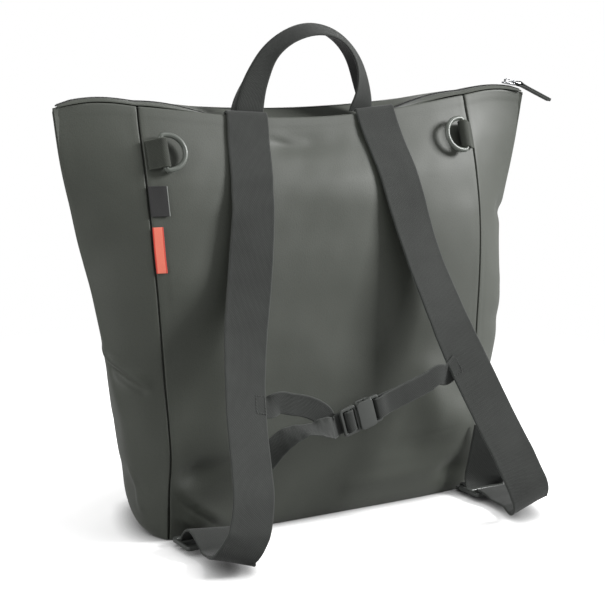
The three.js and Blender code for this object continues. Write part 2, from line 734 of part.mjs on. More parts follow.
// The carry handle, webbing folded lengthwise along a ridge. wide is a share of HANDLE_HALF and
// rise of its height. near is the share of the width on the strap side of the ridge. The turns
// are degrees from the inside of the handle, nearTurn towards the strap side.
const HANDLE_WAY = table(
  ["way", "wide", "rise", "near", "nearTurn", "farTurn"],
  [
    [0, -1, 0, 0.72, 0, 85],
    [0.08, -0.98, 0.13, 0.71, 0, 80],
    [0.2, -0.88, 0.4, 0.64, 5, 62],
    [0.27, -0.78, 0.56, 0.6, 8, 58],
    [0.345, -0.65, 0.72, 0.54, 14, 55],
    [0.42, -0.42, 0.87, 0.52, 32, 60],
    [0.48, -0.21, 0.955, 0.52, 54, 64],
    [0.535, -0.02, 0.998, 0.52, 68, 66],
    [0.6, 0.2, 0.975, 0.52, 70, 68],
    [0.67, 0.42, 0.88, 0.52, 63, 72],
    [0.72, 0.57, 0.757, 0.52, 56, 74],
    [0.77, 0.7, 0.605, 0.52, 48, 72],
    [0.83, 0.785, 0.44, 0.53, 36, 66],
    [0.89, 0.855, 0.27, 0.56, 22, 60],
    [0.95, 0.905, 0.1, 0.61, 4, 62],
    [1, 0.915, 0, 0.63, 0, 66],
  ],
);

function makeHandle() {
  const wayAt = curves(HANDLE_WAY, "way");
  const steps = 30;
  const plane = mouth(HANDLE_HALF).back.y + CLOTH + WEB_THICK + 5 * GAP + HANDLE_THICK / 2;
  const foot = mouth(HANDLE_HALF).back.z - GAP;
  const top = BODY_HEIGHT + HANDLE_RISE - HANDLE_THICK / 2;
  const rows = [];
  for (let i = 0; i <= steps; i++) rows.push(wayAt(i / steps));
  const ridge = rows.map((row) => V(row.wide * HANDLE_HALF, plane, mix(foot, top, row.rise)));
  const layer = (offset) =>
    rows.map((row, i) => {
      const along = ridge[Math.min(i + 1, steps)].clone().sub(ridge[Math.max(i - 1, 0)]);
      if (i === 0 || i === steps) along.x = 0;
      const inside = V(0, 1, 0).cross(along.normalize());
      const wing = (turn, towards, reach) => {
        const a = radians(turn);
        const way = inside.clone().multiplyScalar(Math.cos(a));
        way.y = towards * Math.sin(a);
        const out = inside.clone().multiplyScalar(-Math.sin(a));
        out.y = towards * Math.cos(a);
        return { way, out, reach };
      };
      const near = wing(row.nearTurn, -1, row.near * HANDLE_WIDTH);
      const far = wing(row.farTurn, 1, (1 - row.near) * HANDLE_WIDTH);
      const point = ({ way, out, reach }, share) =>
        ridge[i].clone().addScaledVector(way, share * reach).addScaledVector(out, offset);
      const crest = near.out.clone().add(far.out);
      const slant = Math.max(0.35, crest.length() / 2);
      const peak = ridge[i].clone().addScaledVector(crest.normalize(), offset / slant);
      return [point(near, 1), point(near, 0.2), peak, point(far, 0.2), point(far, 1)];
    });
  add("carry_handle", sheet(layer(HANDLE_THICK / 2), layer(-HANDLE_THICK / 2)), "webbing");
}

// The rings hang in loops of webbing from the side seams. lift is how far a loop stands away from
// the panel and fall how far its ring hangs back from it, both in degrees.
const RINGS = table(
  ["side", "up", "lift", "fall"],
  [
    [-1, 0.893, 22, 20],
    [1, 0.901, 31, 27],
  ],
);

function makeRings() {
  const eye = RING_WIRE / 2 + WIRE_PLAY;
  const outside = eye + LOOP_THICK;
  const straight = RING_HALF - 3;
  const bow = [-75, -60, -45, -30, -15, 0, 15, 30, 45, 60, 75].map((degrees) => {
    const a = radians(degrees);
    return V(4 + (RING_DEPTH - 4) * Math.cos(a), RING_HALF * Math.sin(a), 0);
  });
  const outline = [V(0, straight, 0), V(0, straight / 3, 0), V(0, -straight / 3, 0)];
  outline.push(V(0, -straight, 0), V(0.9, -RING_HALF + 0.9, 0), V(3.2, -RING_HALF, 0));
  outline.push(...bow, V(3.2, RING_HALF, 0), V(0.9, RING_HALF - 0.9, 0));
  for (const { side, up, lift, fall } of RINGS) {
    const name = side < 0 ? "left" : "right";
    const lean = radians(RING_LEAN);
    const along = V(0, Math.sin(lean), Math.cos(lean)).multiplyScalar(-side);
    const away = V(0, -Math.cos(lean), Math.sin(lean));
    const root = skin("back", side * 0.985, up).addScaledVector(away, LOOP_THICK + GAP);
    const seat = turned(aligned(root, V(-side, 0, 0), along), 0, -lift);
    const shape = new THREE.Shape();
    const tangent = radians(115);
    shape.moveTo(0, -LOOP_THICK);
    shape.lineTo(0, LOOP_THICK);
    shape.absarc(LOOP_LENGTH, 0, outside, tangent, -tangent, true);
    shape.closePath();
    shape.holes.push(new THREE.Path().absarc(LOOP_LENGTH, 0, eye, 0, 2 * Math.PI));
    add("ring_loop_" + name, sideways(shape, LOOP_WIDTH, 12), "webbing", seat);
    const hinge = turned(seat, LOOP_LENGTH, fall);
    add("d_ring_" + name, wire(outline, RING_WIRE, 46, 7), "lacquer", hinge);
  }
}

// Labels lie on the back panel with one edge in the left side seam.
function makeLabels() {
  for (const [name, label, shade] of [
    ["label_dark", DARK_LABEL, "dark"],
    ["label_coral", CORAL_LABEL, "coral"],
  ]) {
    const stations = [0, 0.25, 0.5, 0.75, 1].map((share) => -0.997 + (share * label.wide) / PANEL_HALF);
    const levels = [-0.5, -0.17, 0.17, 0.5].map((s) => (label.level + s * label.tall) / BODY_HEIGHT);
    const layer = (lift) =>
      levels.map((up) =>
        stations.map((across) => {
          const point = skin("back", across, up);
          return point.addScaledVector(normal("back", across, up), lift);
        }),
      );
    add(name, sheet(layer(2 * GAP + LABEL_THICK), layer(2 * GAP)), shade);
  }
}

// The zip's slider near the right corner, with a wire link and a doubled tab that hang from it.
function makeSlider() {
  const under = (share) => closure(SLIDER_PLACE + share * SLIDER_LENGTH).zipZ;
  const seat = Math.max(under(0), (under(-0.5) + under(0.5)) / 2) + COIL_RISE + 1.3 * GAP;
  const slope = Math.atan((under(-0.5) - under(0.5)) / SLIDER_LENGTH);
  const carriage = new THREE.Group();
  carriage.position.set(SLIDER_PLACE, closure(SLIDER_PLACE).zipY, seat + SLIDER_PLATE);
  carriage.rotation.y = slope;
  bag.add(carriage);
  const low = plate(roundedRectangle(SLIDER_LENGTH, SLIDER_WIDTH, 2.4), SLIDER_PLATE, 4);
  const bridge = new THREE.Shape();
  bridge.moveTo(-5.6, -0.5);
  bridge.lineTo(5.6, -0.5);
  bridge.lineTo(5.6, BRIDGE_RISE - 2);
  bridge.absarc(3.6, BRIDGE_RISE - 2, 2, 0, Math.PI / 2);
  bridge.absarc(-3.6, BRIDGE_RISE - 2, 2, Math.PI / 2, Math.PI);
  bridge.closePath();
  const hole = new THREE.Path();
  hole.moveTo(-4.4, 0.1);
  hole.lineTo(-4.4, BRIDGE_RISE - 1);
  hole.lineTo(4.4, BRIDGE_RISE - 1);
  hole.lineTo(4.4, 0.1);
  hole.closePath();
  bridge.holes.push(hole);
  const made = solid(low.translate(0, 0, -SLIDER_PLATE / 2)).add(solid(sideways(bridge, 2.2, 4)));
  add("zip_slider", meshed(made), "silver", carriage);

  const hinge = turned(carriage, 3.2, LINK_DROOP - THREE.MathUtils.radToDeg(slope));
  hinge.position.z = 1.3;
  const half = TAB_WIDTH / 2 + LINK_WIRE / 2 + 0.5;
  const link = [
    [0, -half + 1.2],
    [0, 0],
    [0, half - 1.2],
    [0.35, half - 0.35],
    [1.2, half],
    [LINK_LENGTH / 2, half],
    [LINK_LENGTH - 1.2, half],
    [LINK_LENGTH - 0.35, half - 0.35],
    [LINK_LENGTH, half - 1.2],
    [LINK_LENGTH, 0],
    [LINK_LENGTH, -half + 1.2],
    [LINK_LENGTH - 0.35, -half + 0.35],
    [LINK_LENGTH - 1.2, -half],
    [LINK_LENGTH / 2, -half],
    [1.2, -half],
    [0.35, -half + 0.35],
  ].map(([x, y]) => V(x, y, 0));
  add("zip_link", wire(link, LINK_WIRE, 40, 6), "silver", hinge);
  const end = turned(hinge, LINK_LENGTH, TAB_DROOP - LINK_DROOP);
  const tab = new THREE.Shape();
  const r = TAB_THICK / 2;
  tab.absarc(0, 0, r, Math.PI / 2, 1.5 * Math.PI);
  tab.absarc(TAB_LENGTH - r * 0.8, 0, r * 0.8, -Math.PI / 2, Math.PI / 2);
  tab.closePath();
  const bore = LINK_WIRE / 2 + 1.6 * GAP;
  tab.holes.push(new THREE.Path().absarc(0, 0, bore, 0, 2 * Math.PI));
  add("zip_tab", sideways(tab, TAB_WIDTH, 8), "webbing", end);
}

// The chest strap's buckle lies in a frame of its own: X along the strap, Z towards the wearer.
const buckleFrame = aligned(
  V(-2.5, -HALF_DEPTH - CHEST_REACH, 107),
  V(Math.cos(radians(BUCKLE_TILT)), 0, Math.sin(radians(BUCKLE_TILT))),
  V(-Math.sin(radians(BUCKLE_TILT)), 0, Math.cos(radians(BUCKLE_TILT))),
);
buckleFrame.updateMatrixWorld(true);
const buckleHint = V(0, 1, 0).transformDirection(buckleFrame.matrixWorld);
const inBuckle = (x, z) => buckleFrame.localToWorld(V(x, 0, z));

function makeBuckle() {
  const end = BUCKLE_LENGTH / 2;
  const slot = CHEST_WIDTH + 3 * GAP;
  const cavity = BUCKLE_WIDTH - 8.2;
  const rim = plate(roundedRectangle(16, BUCKLE_WIDTH, 2.5), BUCKLE_FRAME, 3);
  const male = solid(rim.translate(-end + 8, 0, 0))
    .subtract(solid(box(-end + 2.6, -end + 7.2, slot, 20)))
    .subtract(solid(box(-end + 10.2, -end + 14.2, slot, 20)))
    .add(solid(box(-end + 15, 8, cavity - 3 * GAP, 3)))
    .add(solid(box(0.4, 5.6, BUCKLE_WIDTH - 1.2, 3)));
  add("buckle_male", meshed(male), "plastic", buckleFrame);
  const shell = plate(roundedRectangle(end - 4, BUCKLE_WIDTH, 3), BUCKLE_THICK, 3);
  const tail = plate(roundedRectangle(12, BUCKLE_WIDTH, 2.5), BUCKLE_FRAME, 3);
  const female = solid(shell.translate(4.4, 0, 0))
    .add(solid(tail.translate(end - 6, 0, 0)))
    .subtract(solid(box(-9, 9, cavity, 3 + 3 * GAP)))
    .subtract(solid(box(0, 6, 40, 3 + 3 * GAP)))
    .subtract(solid(box(end - 7.4, end - 3, slot, 20)));
  add("buckle_female", meshed(female), "plastic", buckleFrame);
}

// Where the chest strap is sewn to the back of a shoulder strap.
function sewnOn(side, inset) {
  const made = frames(shoulderPath(side));
  const i = made.findIndex((row, k) => k > 12 && row.at.z < CHEST_HEIGHT);
  const share = (made[i - 1].at.z - CHEST_HEIGHT) / (made[i - 1].at.z - made[i].at.z);
  const at = made[i - 1].at.clone().lerp(made[i].at, share);
  const back = made[i].out.clone();
  if (back.y < 0) back.negate();
  const across = made[i].across.clone().multiplyScalar(made[i].across.x * side < 0 ? -1 : 1);
  const hint = made[i].along.clone().negate();
  const lift = (WEB_THICK + CHEST_THICK) / 2 + 2.5 * GAP;
  return {
    at: at.addScaledVector(across, -WEB_WIDTH / 2 + inset).addScaledVector(back, lift),
    hint,
  };
}

function makeChestStrap() {
  const over = (BUCKLE_FRAME + CHEST_THICK) / 2 + GAP;
  const under = over + CHEST_THICK + 1.2 * GAP;
  const upright = V(0, 0, 1);
  const left = [
    sewnOn(-1, 12),
    sewnOn(-1, -4),
    { at: V(-80, -127.5, 128.4), hint: V(0, 0.55, 0.85) },
    { at: V(-68, -127.5, 123.6), hint: V(0, 0.4, 0.92) },
    { at: V(-55, -127.5, 117.5), hint: upright },
    { at: V(-45, -127.7, 110), hint: V(0.15, 0, 1) },
    { at: V(-37, -128, 103.6), hint: V(0.1, 0, 1) },
    { at: inBuckle(-29, -under - 0.4), hint: buckleHint },
    { at: inBuckle(-24.5, -under), hint: buckleHint },
    { at: inBuckle(-20, -under), hint: buckleHint },
    { at: inBuckle(-10.3, -under), hint: buckleHint },
    { at: inBuckle(-8.4, -under + 0.7), hint: buckleHint },
    { at: inBuckle(-7.7, -2.4), hint: buckleHint },
    { at: inBuckle(-7.7, 1), hint: buckleHint },
    { at: inBuckle(-8.3, over - 0.5), hint: buckleHint },
    { at: inBuckle(-9.4, over + 0.05), hint: buckleHint },
    { at: inBuckle(-13.2, over), hint: buckleHint },
    { at: inBuckle(-14.6, over - 0.5), hint: buckleHint },
    { at: inBuckle(-15.2, 1), hint: buckleHint },
    { at: inBuckle(-15.2, -1), hint: buckleHint },
    { at: inBuckle(-15.8, -over + 0.5), hint: buckleHint },
    { at: inBuckle(-17.2, -over), hint: buckleHint },
    { at: inBuckle(-22.5, -over), hint: buckleHint },
    { at: inBuckle(-28, -over + 2.6), hint: buckleHint },
    { at: V(-36, -138.5, 101.6), hint: V(-0.1, 0.4, 0.9) },
    { at: V(-43, -140.5, 100), hint: V(-0.15, 0.5, 0.85) },
    { at: V(-52, -141, 98), hint: V(-0.2, 0.55, 0.8) },
    { at: V(-61, -140.5, 94.8), hint: V(-0.35, 0.5, 0.8) },
    { at: V(-70, -139, 90.6), hint: V(-0.45, 0.45, 0.78) },
    { at: V(-79, -137, 85.4), hint: V(-0.55, 0.4, 0.74) },
    { at: V(-88, -135, 78.4), hint: V(-0.6, 0.35, 0.7) },
    { at: V(-97, -133, 69), hint: V(-0.65, 0.35, 0.62) },
  ];
  add("chest_strap_left", strap(left, CHEST_WIDTH, CHEST_THICK), "webbing");

  const back = [
    { at: inBuckle(20, -over), hint: buckleHint },
    { at: inBuckle(28, -over + 0.4), hint: buckleHint },
    { at: V(36, -131, 118), hint: upright },
    { at: V(48, -131, 121.8), hint: upright },
    { at: V(60, -130.6, 125.4), hint: upright },
    { at: V(71, -130, 128.4), hint: upright },
    { at: V(81, -128, 131), hint: V(0, 0.3, 1) },
    sewnOn(1, -4),
    sewnOn(1, 12),
  ];
  const made = frames(back);
  const front = made.slice(2, 6).map(({ at, out }, i) => ({
    at: at.clone().addScaledVector(out, (out.y < 0 ? 1 : -1) * (CHEST_THICK + 1.3 * GAP)),
    hint: back[i + 2].hint,
  }));
  const right = [
    ...back.reverse(),
    { at: inBuckle(17.2, -over - 0.1), hint: buckleHint },
    { at: inBuckle(15.7, -over + 0.25), hint: buckleHint },
    { at: inBuckle(15, -1.1), hint: buckleHint },
    { at: inBuckle(15, 1.1), hint: buckleHint },
    { at: inBuckle(15.7, over - 0.25), hint: buckleHint },
    { at: inBuckle(17.2, over + 0.1), hint: buckleHint },
    { at: inBuckle(20.5, over), hint: buckleHint },
    { at: inBuckle(28, 0.6), hint: buckleHint },
    ...front,
  ];
  add("chest_strap_right", strap(right, CHEST_WIDTH, CHEST_THICK), "webbing");
}

makeBody();
makeBase();
makePocket();
makeClosure();
makeShoulderStraps();
makeAdjusters();
makeHandle();
makeRings();
makeLabels();
makeSlider();
makeBuckle();
makeChestStrap();

export default bag;
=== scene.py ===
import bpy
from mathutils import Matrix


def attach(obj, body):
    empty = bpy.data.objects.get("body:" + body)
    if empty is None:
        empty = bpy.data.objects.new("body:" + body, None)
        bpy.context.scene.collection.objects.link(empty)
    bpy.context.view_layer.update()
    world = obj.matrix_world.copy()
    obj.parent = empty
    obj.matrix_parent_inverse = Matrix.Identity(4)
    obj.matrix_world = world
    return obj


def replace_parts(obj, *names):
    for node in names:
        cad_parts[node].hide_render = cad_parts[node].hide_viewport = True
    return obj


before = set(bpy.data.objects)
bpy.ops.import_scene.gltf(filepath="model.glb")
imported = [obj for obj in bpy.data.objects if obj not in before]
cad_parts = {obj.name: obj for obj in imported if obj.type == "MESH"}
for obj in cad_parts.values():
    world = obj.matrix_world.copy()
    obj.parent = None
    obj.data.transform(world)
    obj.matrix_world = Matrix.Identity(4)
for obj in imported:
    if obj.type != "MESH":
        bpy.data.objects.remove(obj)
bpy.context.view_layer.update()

import math
import random

import bmesh
import bpy
import numpy as np
from bpy.props import FloatProperty, FloatVectorProperty, PointerProperty
from mathutils import Matrix, Vector

bl_info = {
    "name": "Changing backpack",
    "version": (1, 0, 0),
    "blender": (4, 5, 0),
    "location": "View3D > Sidebar > Backpack",
    "description": "Builds a tote-shaped changing backpack in coated cloth and webbing",
    "category": "Add Mesh",
}

MM = 0.001

# ---- Sizes in millimetres and angles in degrees, as the solids have them ----
BODY_HEIGHT = 371
WING_HALF = 238.5
PANEL_HALF = 165.5
HALF_DEPTH = 68
CLOTH = 2
MOUTH_SAG = 14
FRONT_SAG = 9.5
WING_ARCH = 4
FRONT_RISE = 2
GAP = 0.3
FACING_THICK = 1.2
ZIPPER_WIDTH = 6
FACING_NARROW = 1.9
ZIP_RECESS = 6
POCKET_FOOT = 0.065
POCKET_RISE = 0.77
POCKET_BULGE = 15
POCKET_MOUTH = 9
WEB_WIDTH = 40
WEB_THICK = 2
STRAP_REACH = 117
STRAP_TOP = 65
STRAP_SWING = 13
TAIL_LENGTH = 55
LOOP_WIDTH = 25
LOOP_THICK = 1.6
LOOP_LENGTH = 13.6
HANDLE_WIDTH = 38
HANDLE_THICK = 2
HANDLE_RISE = 66.5
HANDLE_HALF = 72.5
CHEST_WIDTH = 19
CHEST_THICK = 1.3
CHEST_HEIGHT = 132
CHEST_REACH = 65
RING_DEPTH = 19.7
RING_HALF = 15
RING_LEAN = 19
SLIDER_PLACE = 222.5
SLIDER_LENGTH = 14
SLIDER_WIDTH = 7
SLIDER_PLATE = 1.8
COIL_RISE = 1.3
BRIDGE_RISE = 3.6
LINK_WIRE = 1.2
LINK_LENGTH = 8.3
LINK_DROOP = 13
TAB_DROOP = 24
TAB_LENGTH = 41
TAB_WIDTH = 7
BUCKLE_LENGTH = 40
BUCKLE_WIDTH = 25
BUCKLE_THICK = 7.6
BUCKLE_TILT = 16
BUCKLE_FRAME = 3.4
ADJUSTER_WIDTH = 46
ADJUSTER_LENGTH = 31
ADJUSTER_THICK = 4
ADJUSTER_BAR = 5
ADJUSTER_REACH = 28.5
ADJUSTER_SPREAD = 149
ADJUSTER_LEVEL = 6.2
ADJUSTER_LOOP = 20
CORNER_LOOP = 146
LABEL_THICK = 0.8
DARK_LABEL = (16, 25, 294)
CORAL_LABEL = (9, 38, 254)

# ---- Sizes and angles that are the scene's own ----
GUSSET_WIDTH = 118
FLOOR_CLEAR = 0.02
BACK_STEP, SIDE_STEP, FAR_STEP = 1.72, 1.9, 2.4  # how fine the walls' grids are
POCKET_EDGE = 0.95
POCKET_AIR = 0.9
CLOSURE_HALF = 234.5
CORNER_ROUND = 5
TAIL_LEAN = 8
TAIL_YAW = 24
RING_WIRE = 4.5
WIRE_PLAY = 0.85
RING_SLEW = 2.5  # how far the left ring has turned in its loop
PRONG_THICK = 3
BUCKLE_ASIDE = -2.5
BUCKLE_LEVEL = 107
TAB_PLY = 1.3
SELVEDGE = 0.18  # how much fuller webbing is near its edges
HANDLE_STEPS = 150
LINING_AWAY = 60  # from the webbing's place to its lining's in the handle's map
LABEL_RIB = 0.55
LABEL_EDGE = (0, 0.15, 0.35, 0.6, 1)
PAST_MOUTH = 12  # rows of a shoulder strap's path over the mouth and down the wall


def V(x, y, z):
    return Vector((x, y, z))


def mix(a, b, t):
    return a + (b - a) * t


def smooth(low, high, x):
    """From 0 at low to 1 at high, with no corner at either end."""
    t = min(1, max(0, (x - low) / (high - low)))
    return t * t * (3 - 2 * t)


def table(columns, rows):
    """Rows of numbers as dictionaries, by the names of their columns."""
    return [dict(zip(columns.split(), row)) for row in rows]


def column(rows, name, key):
    """A smooth curve through one column of a table, with no overshoot between its rows."""
    x = [row[key] for row in rows]
    y = [row[name] for row in rows]
    rise = [(y[i + 1] - y[i]) / (x[i + 1] - x[i]) for i in range(len(x) - 1)]
    slope = [rise[0]]
    for a, b in zip(rise, rise[1:]):
        slope.append(0 if a * b <= 0 else 2 * a * b / (a + b))
    slope.append(rise[-1])

    def at(value):
        if value >= x[-1]:
            return y[-1]
        i = 0
        while i < len(x) - 2 and x[i + 1] <= value:
            i += 1
        h = x[i + 1] - x[i]
        t = (value - x[i]) / h
        return (
            (2 * t**3 - 3 * t**2 + 1) * y[i]
            + (t**3 - 2 * t**2 + t) * h * slope[i]
            + (3 * t**2 - 2 * t**3) * y[i + 1]
            + (t**3 - t**2) * h * slope[i + 1]
        )

    return at


def curves(rows, key):
    """Every column of a table as a smooth curve over its key column."""
    parts = {name: column(rows, name, key) for name in rows[0] if name != key}
    return lambda at: {name: part(at) for name, part in parts.items()}


# ---- The bag's form ----
# Each level's side seam, wing fold and front seam, and the middles of its back and front, as shares
# of the panels' and wings' half widths and the half depth. At round 1 the gusset is a full curve.
LEVELS = table(
    "up seamX seamY foldX foldY frontX frontY backMid frontMid round",
    [
        (0.0, 0.94, -0.985, 0.671, -0.47, 0.76, 0.26, -1.07, 0.44, 1),
        (0.022, 0.946, -1.03, 0.704, -0.47, 0.846, 0.56, -1.13, 0.76, 1),
        (0.065, 0.955, -1.09, 0.725, -0.49, 0.882, 0.7, -1.18, 0.97, 1),
        (0.13, 0.965, -1.165, 0.742, -0.53, 0.888, 0.77, -1.235, 1.06, 1),
        (0.2, 0.958, -1.19, 0.771, -0.6, 0.9, 0.78, -1.26, 1.09, 1),
        (0.28, 0.961, -1.155, 0.797, -0.65, 0.912, 0.74, -1.25, 1.06, 1),
        (0.388, 0.97, -1.095, 0.828, -0.68, 0.93, 0.65, -1.22, 0.97, 0.85),
        (0.566, 0.993, -1.07, 0.876, -0.59, 0.96, 0.44, -1.18, 0.74, 0.55),
        (0.712, 1.008, -0.993, 0.914, -0.46, 0.978, 0.235, -1.1, 0.5, 0.3),
        (0.82, 1.01, -0.875, 0.954, -0.463, 0.991, 0.045, -0.985, 0.29, 0.15),
        (0.887, 1.008, -0.774, 0.976, -0.466, 0.994, -0.09, -0.86, 0.13, 0.08),
        (0.954, 1.004, -0.641, 0.992, -0.475, 0.997, -0.22, -0.71, -0.015, 0.03),
        (1.0, 1.0, -0.566, 1.0, -0.485, 1.0, -0.31, -0.62, -0.12, 0),
    ],
)
level_at = curves(LEVELS, "up")
FOLD_AT = 0.45
RISE_AFTER = 0.22
BACK_FLATNESS = 5
FRONT_FLATNESS = 2.4
# How far a gusset bows between its seams and its fold, as a share, and how it gets straighter upwards
BOW_BEHIND, BOW_AHEAD = -0.6, 0.35
# From these heights up the mouth's edge sags, and the wings' tops arch
SAG_FROM = 0.72
ARCH_FROM = 0.85
# Broad dents and swellings of the walls: their middles and spreads as shares, their depth in millimetres
DENTS = table(
    "panel across up spread_across spread_up depth",
    [
        ("back", -0.84, 0.165, 0.1, 0.035, 5),
        ("back", -0.8, 0.05, 0.16, 0.035, -3),
        ("back", 0.86, 0.2, 0.12, 0.06, -4),
        ("back", 0.82, 0.07, 0.1, 0.03, 4),
        ("back", -0.12, 0.93, 0.2, 0.03, 3),
        ("back", 0.1, 0.8, 0.3, 0.07, -3),
        ("back", 0.0, 0.45, 0.35, 0.12, 3),
        ("gusset_left", 0.3, 0.41, 0.16, 0.03, 3),
        ("gusset_left", 0.45, 0.12, 0.2, 0.03, 3),
        ("gusset_right", 0.3, 0.43, 0.16, 0.03, 3),
        ("front", 0.0, 0.85, 0.5, 0.06, 3),
    ],
)
# Shares of the panels' half width: from where the closure rises, where it lies on top of the edges, and
# where it reaches over them
RISE_FROM, ON_TOP_AT, SPREAD_AT = 0.4, 0.94, 1.06
ZIP_BETWEEN = 0.42
_sections = {}


def section(up):
    """The corners of the bag's outline at a height, with their places in millimetres."""
    if up not in _sections:
        row = level_at(up)
        _sections[up] = {
            "seam": V(row["seamX"] * PANEL_HALF, row["seamY"] * HALF_DEPTH, 0),
            "fold": V(row["foldX"] * WING_HALF, row["foldY"] * HALF_DEPTH, 0),
            "front": V(row["frontX"] * PANEL_HALF, row["frontY"] * HALF_DEPTH, 0),
            "backMid": row["backMid"] * HALF_DEPTH,
            "frontMid": row["frontMid"] * HALF_DEPTH,
            "round": row["round"],
        }
    return _sections[up]


def dent(panel, across, up):
    """How far the broad dents push a panel outwards at a place."""
    total = 0
    for row in DENTS:
        if row["panel"] == panel:
            a = (across - row["across"]) / row["spread_across"]
            b = (up - row["up"]) / row["spread_up"]
            total += row["depth"] * math.exp(-a * a - b * b)
    return total


def sag(depth, x):
    """How far the mouth's edge hangs down between the side seams."""
    return depth * max(0, 1 - (x / PANEL_HALF) ** 2) ** 1.3


def skin(panel, across, up, side=1):
    """A point of the bag's outside, in millimetres."""
    s = section(up)
    seam, fold, front = s["seam"], s["fold"], s["front"]
    near_top = smooth(SAG_FROM, 1, up)
    level = up * BODY_HEIGHT
    rise = FRONT_RISE * near_top
    if panel == "back":
        x = seam.x * across
        y = mix(s["backMid"], seam.y, abs(across) ** BACK_FLATNESS)
        return V(x, y + dent(panel, across, up), level - near_top * sag(MOUTH_SAG, x))
    if panel == "front":
        x = front.x * across
        y = mix(s["frontMid"], front.y, abs(across) ** FRONT_FLATNESS)
        return V(x, y - dent(panel, across, up), level + rise - near_top * sag(FRONT_SAG, x))
    chord = (front - seam).normalized()
    behind = across <= FOLD_AT
    start, end = (seam, fold) if behind else (fold, front)
    t = across / FOLD_AT if behind else (across - FOLD_AT) / (1 - FOLD_AT)
    reach = (end - start).dot(chord) * (BOW_BEHIND if behind else BOW_AHEAD)
    middle = ((start + end) / 2).lerp(fold + chord * reach, s["round"])
    point = start * (1 - t) ** 2 + middle * (2 * t * (1 - t)) + end * t * t
    name = "gusset_left" if side < 0 else "gusset_right"
    out = t if behind else 1 - t
    arch = WING_ARCH * smooth(ARCH_FROM, 1, up) * math.sin(math.pi * out)
    ahead = 0 if behind else rise * min(1, t / RISE_AFTER)
    return V(side * (point.x - dent(name, across, up)), point.y, level + arch + ahead)


def normal(panel, across, up, side=1):
    """Straight out of the bag's outside at a place."""
    step = 0.004
    low = 0 if panel == "gusset" else -1
    along = skin(panel, min(1, across + step), up, side) - skin(panel, max(low, across - step), up, side)
    rising = skin(panel, across, min(1, up + step), side) - skin(panel, across, max(0, up - step), side)
    made = along.cross(rising).normalized()
    if panel == "front" or (panel == "gusset" and side < 0):
        made.negate()
    return made


def mouth(x):
    """The mouth's edge at a place across: a point of its back and one of its front."""
    far = abs(x)
    s = section(1)
    if far <= s["seam"].x:
        return skin("back", x / s["seam"].x, 1), skin("front", x / s["front"].x, 1)
    side = -1 if x < 0 else 1
    share = (far - s["seam"].x) / (s["fold"].x - s["seam"].x)
    ahead = (far - s["front"].x) / (s["fold"].x - s["front"].x)
    return (
        skin("gusset", share * FOLD_AT, 1, side),
        skin("gusset", 1 - ahead * (1 - FOLD_AT), 1, side),
    )


def closure(x):
    """Depth and height of the facings' outer edges and the zip at a place across, and the zip's half width."""
    far = abs(x)
    back, front = mouth(x)
    on_top = smooth(RISE_FROM * PANEL_HALF, ON_TOP_AT * PANEL_HALF, far)
    spread = smooth(ON_TOP_AT * PANEL_HALF, SPREAD_AT * PANEL_HALF, far)
    middle = (back.y + front.y) / 2
    least = ZIPPER_WIDTH / 4 + GAP + FACING_NARROW
    inset = mix(CLOTH + GAP, 0, spread)
    back_y = min(back.y + inset, middle - least)
    front_y = max(front.y - inset, middle + least)
    half = mix(ZIPPER_WIDTH / 2, ZIPPER_WIDTH / 4, smooth(0.5, 1, far / WING_HALF))
    zip_y = mix(mix(back_y, front_y, ZIP_BETWEEN), middle, on_top)
    above = 2 * GAP + FACING_THICK
    dip = 1 - (x / PANEL_HALF) ** 2
    low = back.z - ZIP_RECESS * max(dip, 0.25)
    return {
        "back": (back_y, back.z + mix(-1.5, above, on_top)),
        "front": (front_y, front.z + mix(-1, above, on_top)),
        "zip": (zip_y, mix(low, front.z + above, on_top)),
        "half": half,
    }


# ---- Mesh helpers. Points are in millimetres, meshes in metres ----
def linked(name, data):
    """A new object in the scene."""
    obj = bpy.data.objects.new(name, data)
    bpy.context.scene.collection.objects.link(obj)
    return obj


def evaluated(holder):
    """The finished mesh of an object that is only there to make it."""
    depsgraph = bpy.context.evaluated_depsgraph_get()
    mesh = bpy.data.meshes.new_from_object(holder.evaluated_get(depsgraph))
    holder.modifiers.clear()
    bpy.data.objects.remove(holder)
    return mesh


def finish_mesh(name, mesh, material, body="bag", smooth_angle=40):
    """Makes a mesh a piece that rides on a body of the part."""
    for polygon in mesh.polygons:
        polygon.use_smooth = True
    mesh.set_sharp_from_angle(angle=math.radians(smooth_angle))
    obj = linked(name, mesh)
    mesh.materials.clear()
    mesh.materials.append(material)
    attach(obj, body)
    return obj


def outwards(mesh):
    """Turns the faces of a closed mesh outwards."""
    bm = bmesh.new()
    bm.from_mesh(mesh)
    bmesh.ops.remove_doubles(bm, verts=bm.verts, dist=1e-7)
    bmesh.ops.recalc_face_normals(bm, faces=bm.faces)
    bm.to_mesh(mesh)
    bm.free()


def mesh_from(name, points, faces, uv=None):
    """A mesh from points in millimetres. uv holds a pair for every point."""
    mesh = bpy.data.meshes.new(name)
    mesh.from_pydata([tuple(c * MM for c in p) for p in points], [], faces)
    if uv is not None:
        layer = mesh.uv_layers.new(name="Cloth")
        indices = np.empty(len(mesh.loops), dtype=np.int64)
        mesh.loops.foreach_get("vertex_index", indices)
        layer.data.foreach_set("uv", np.asarray(uv, dtype=np.float32)[indices].ravel())
    mesh.validate()
    return mesh


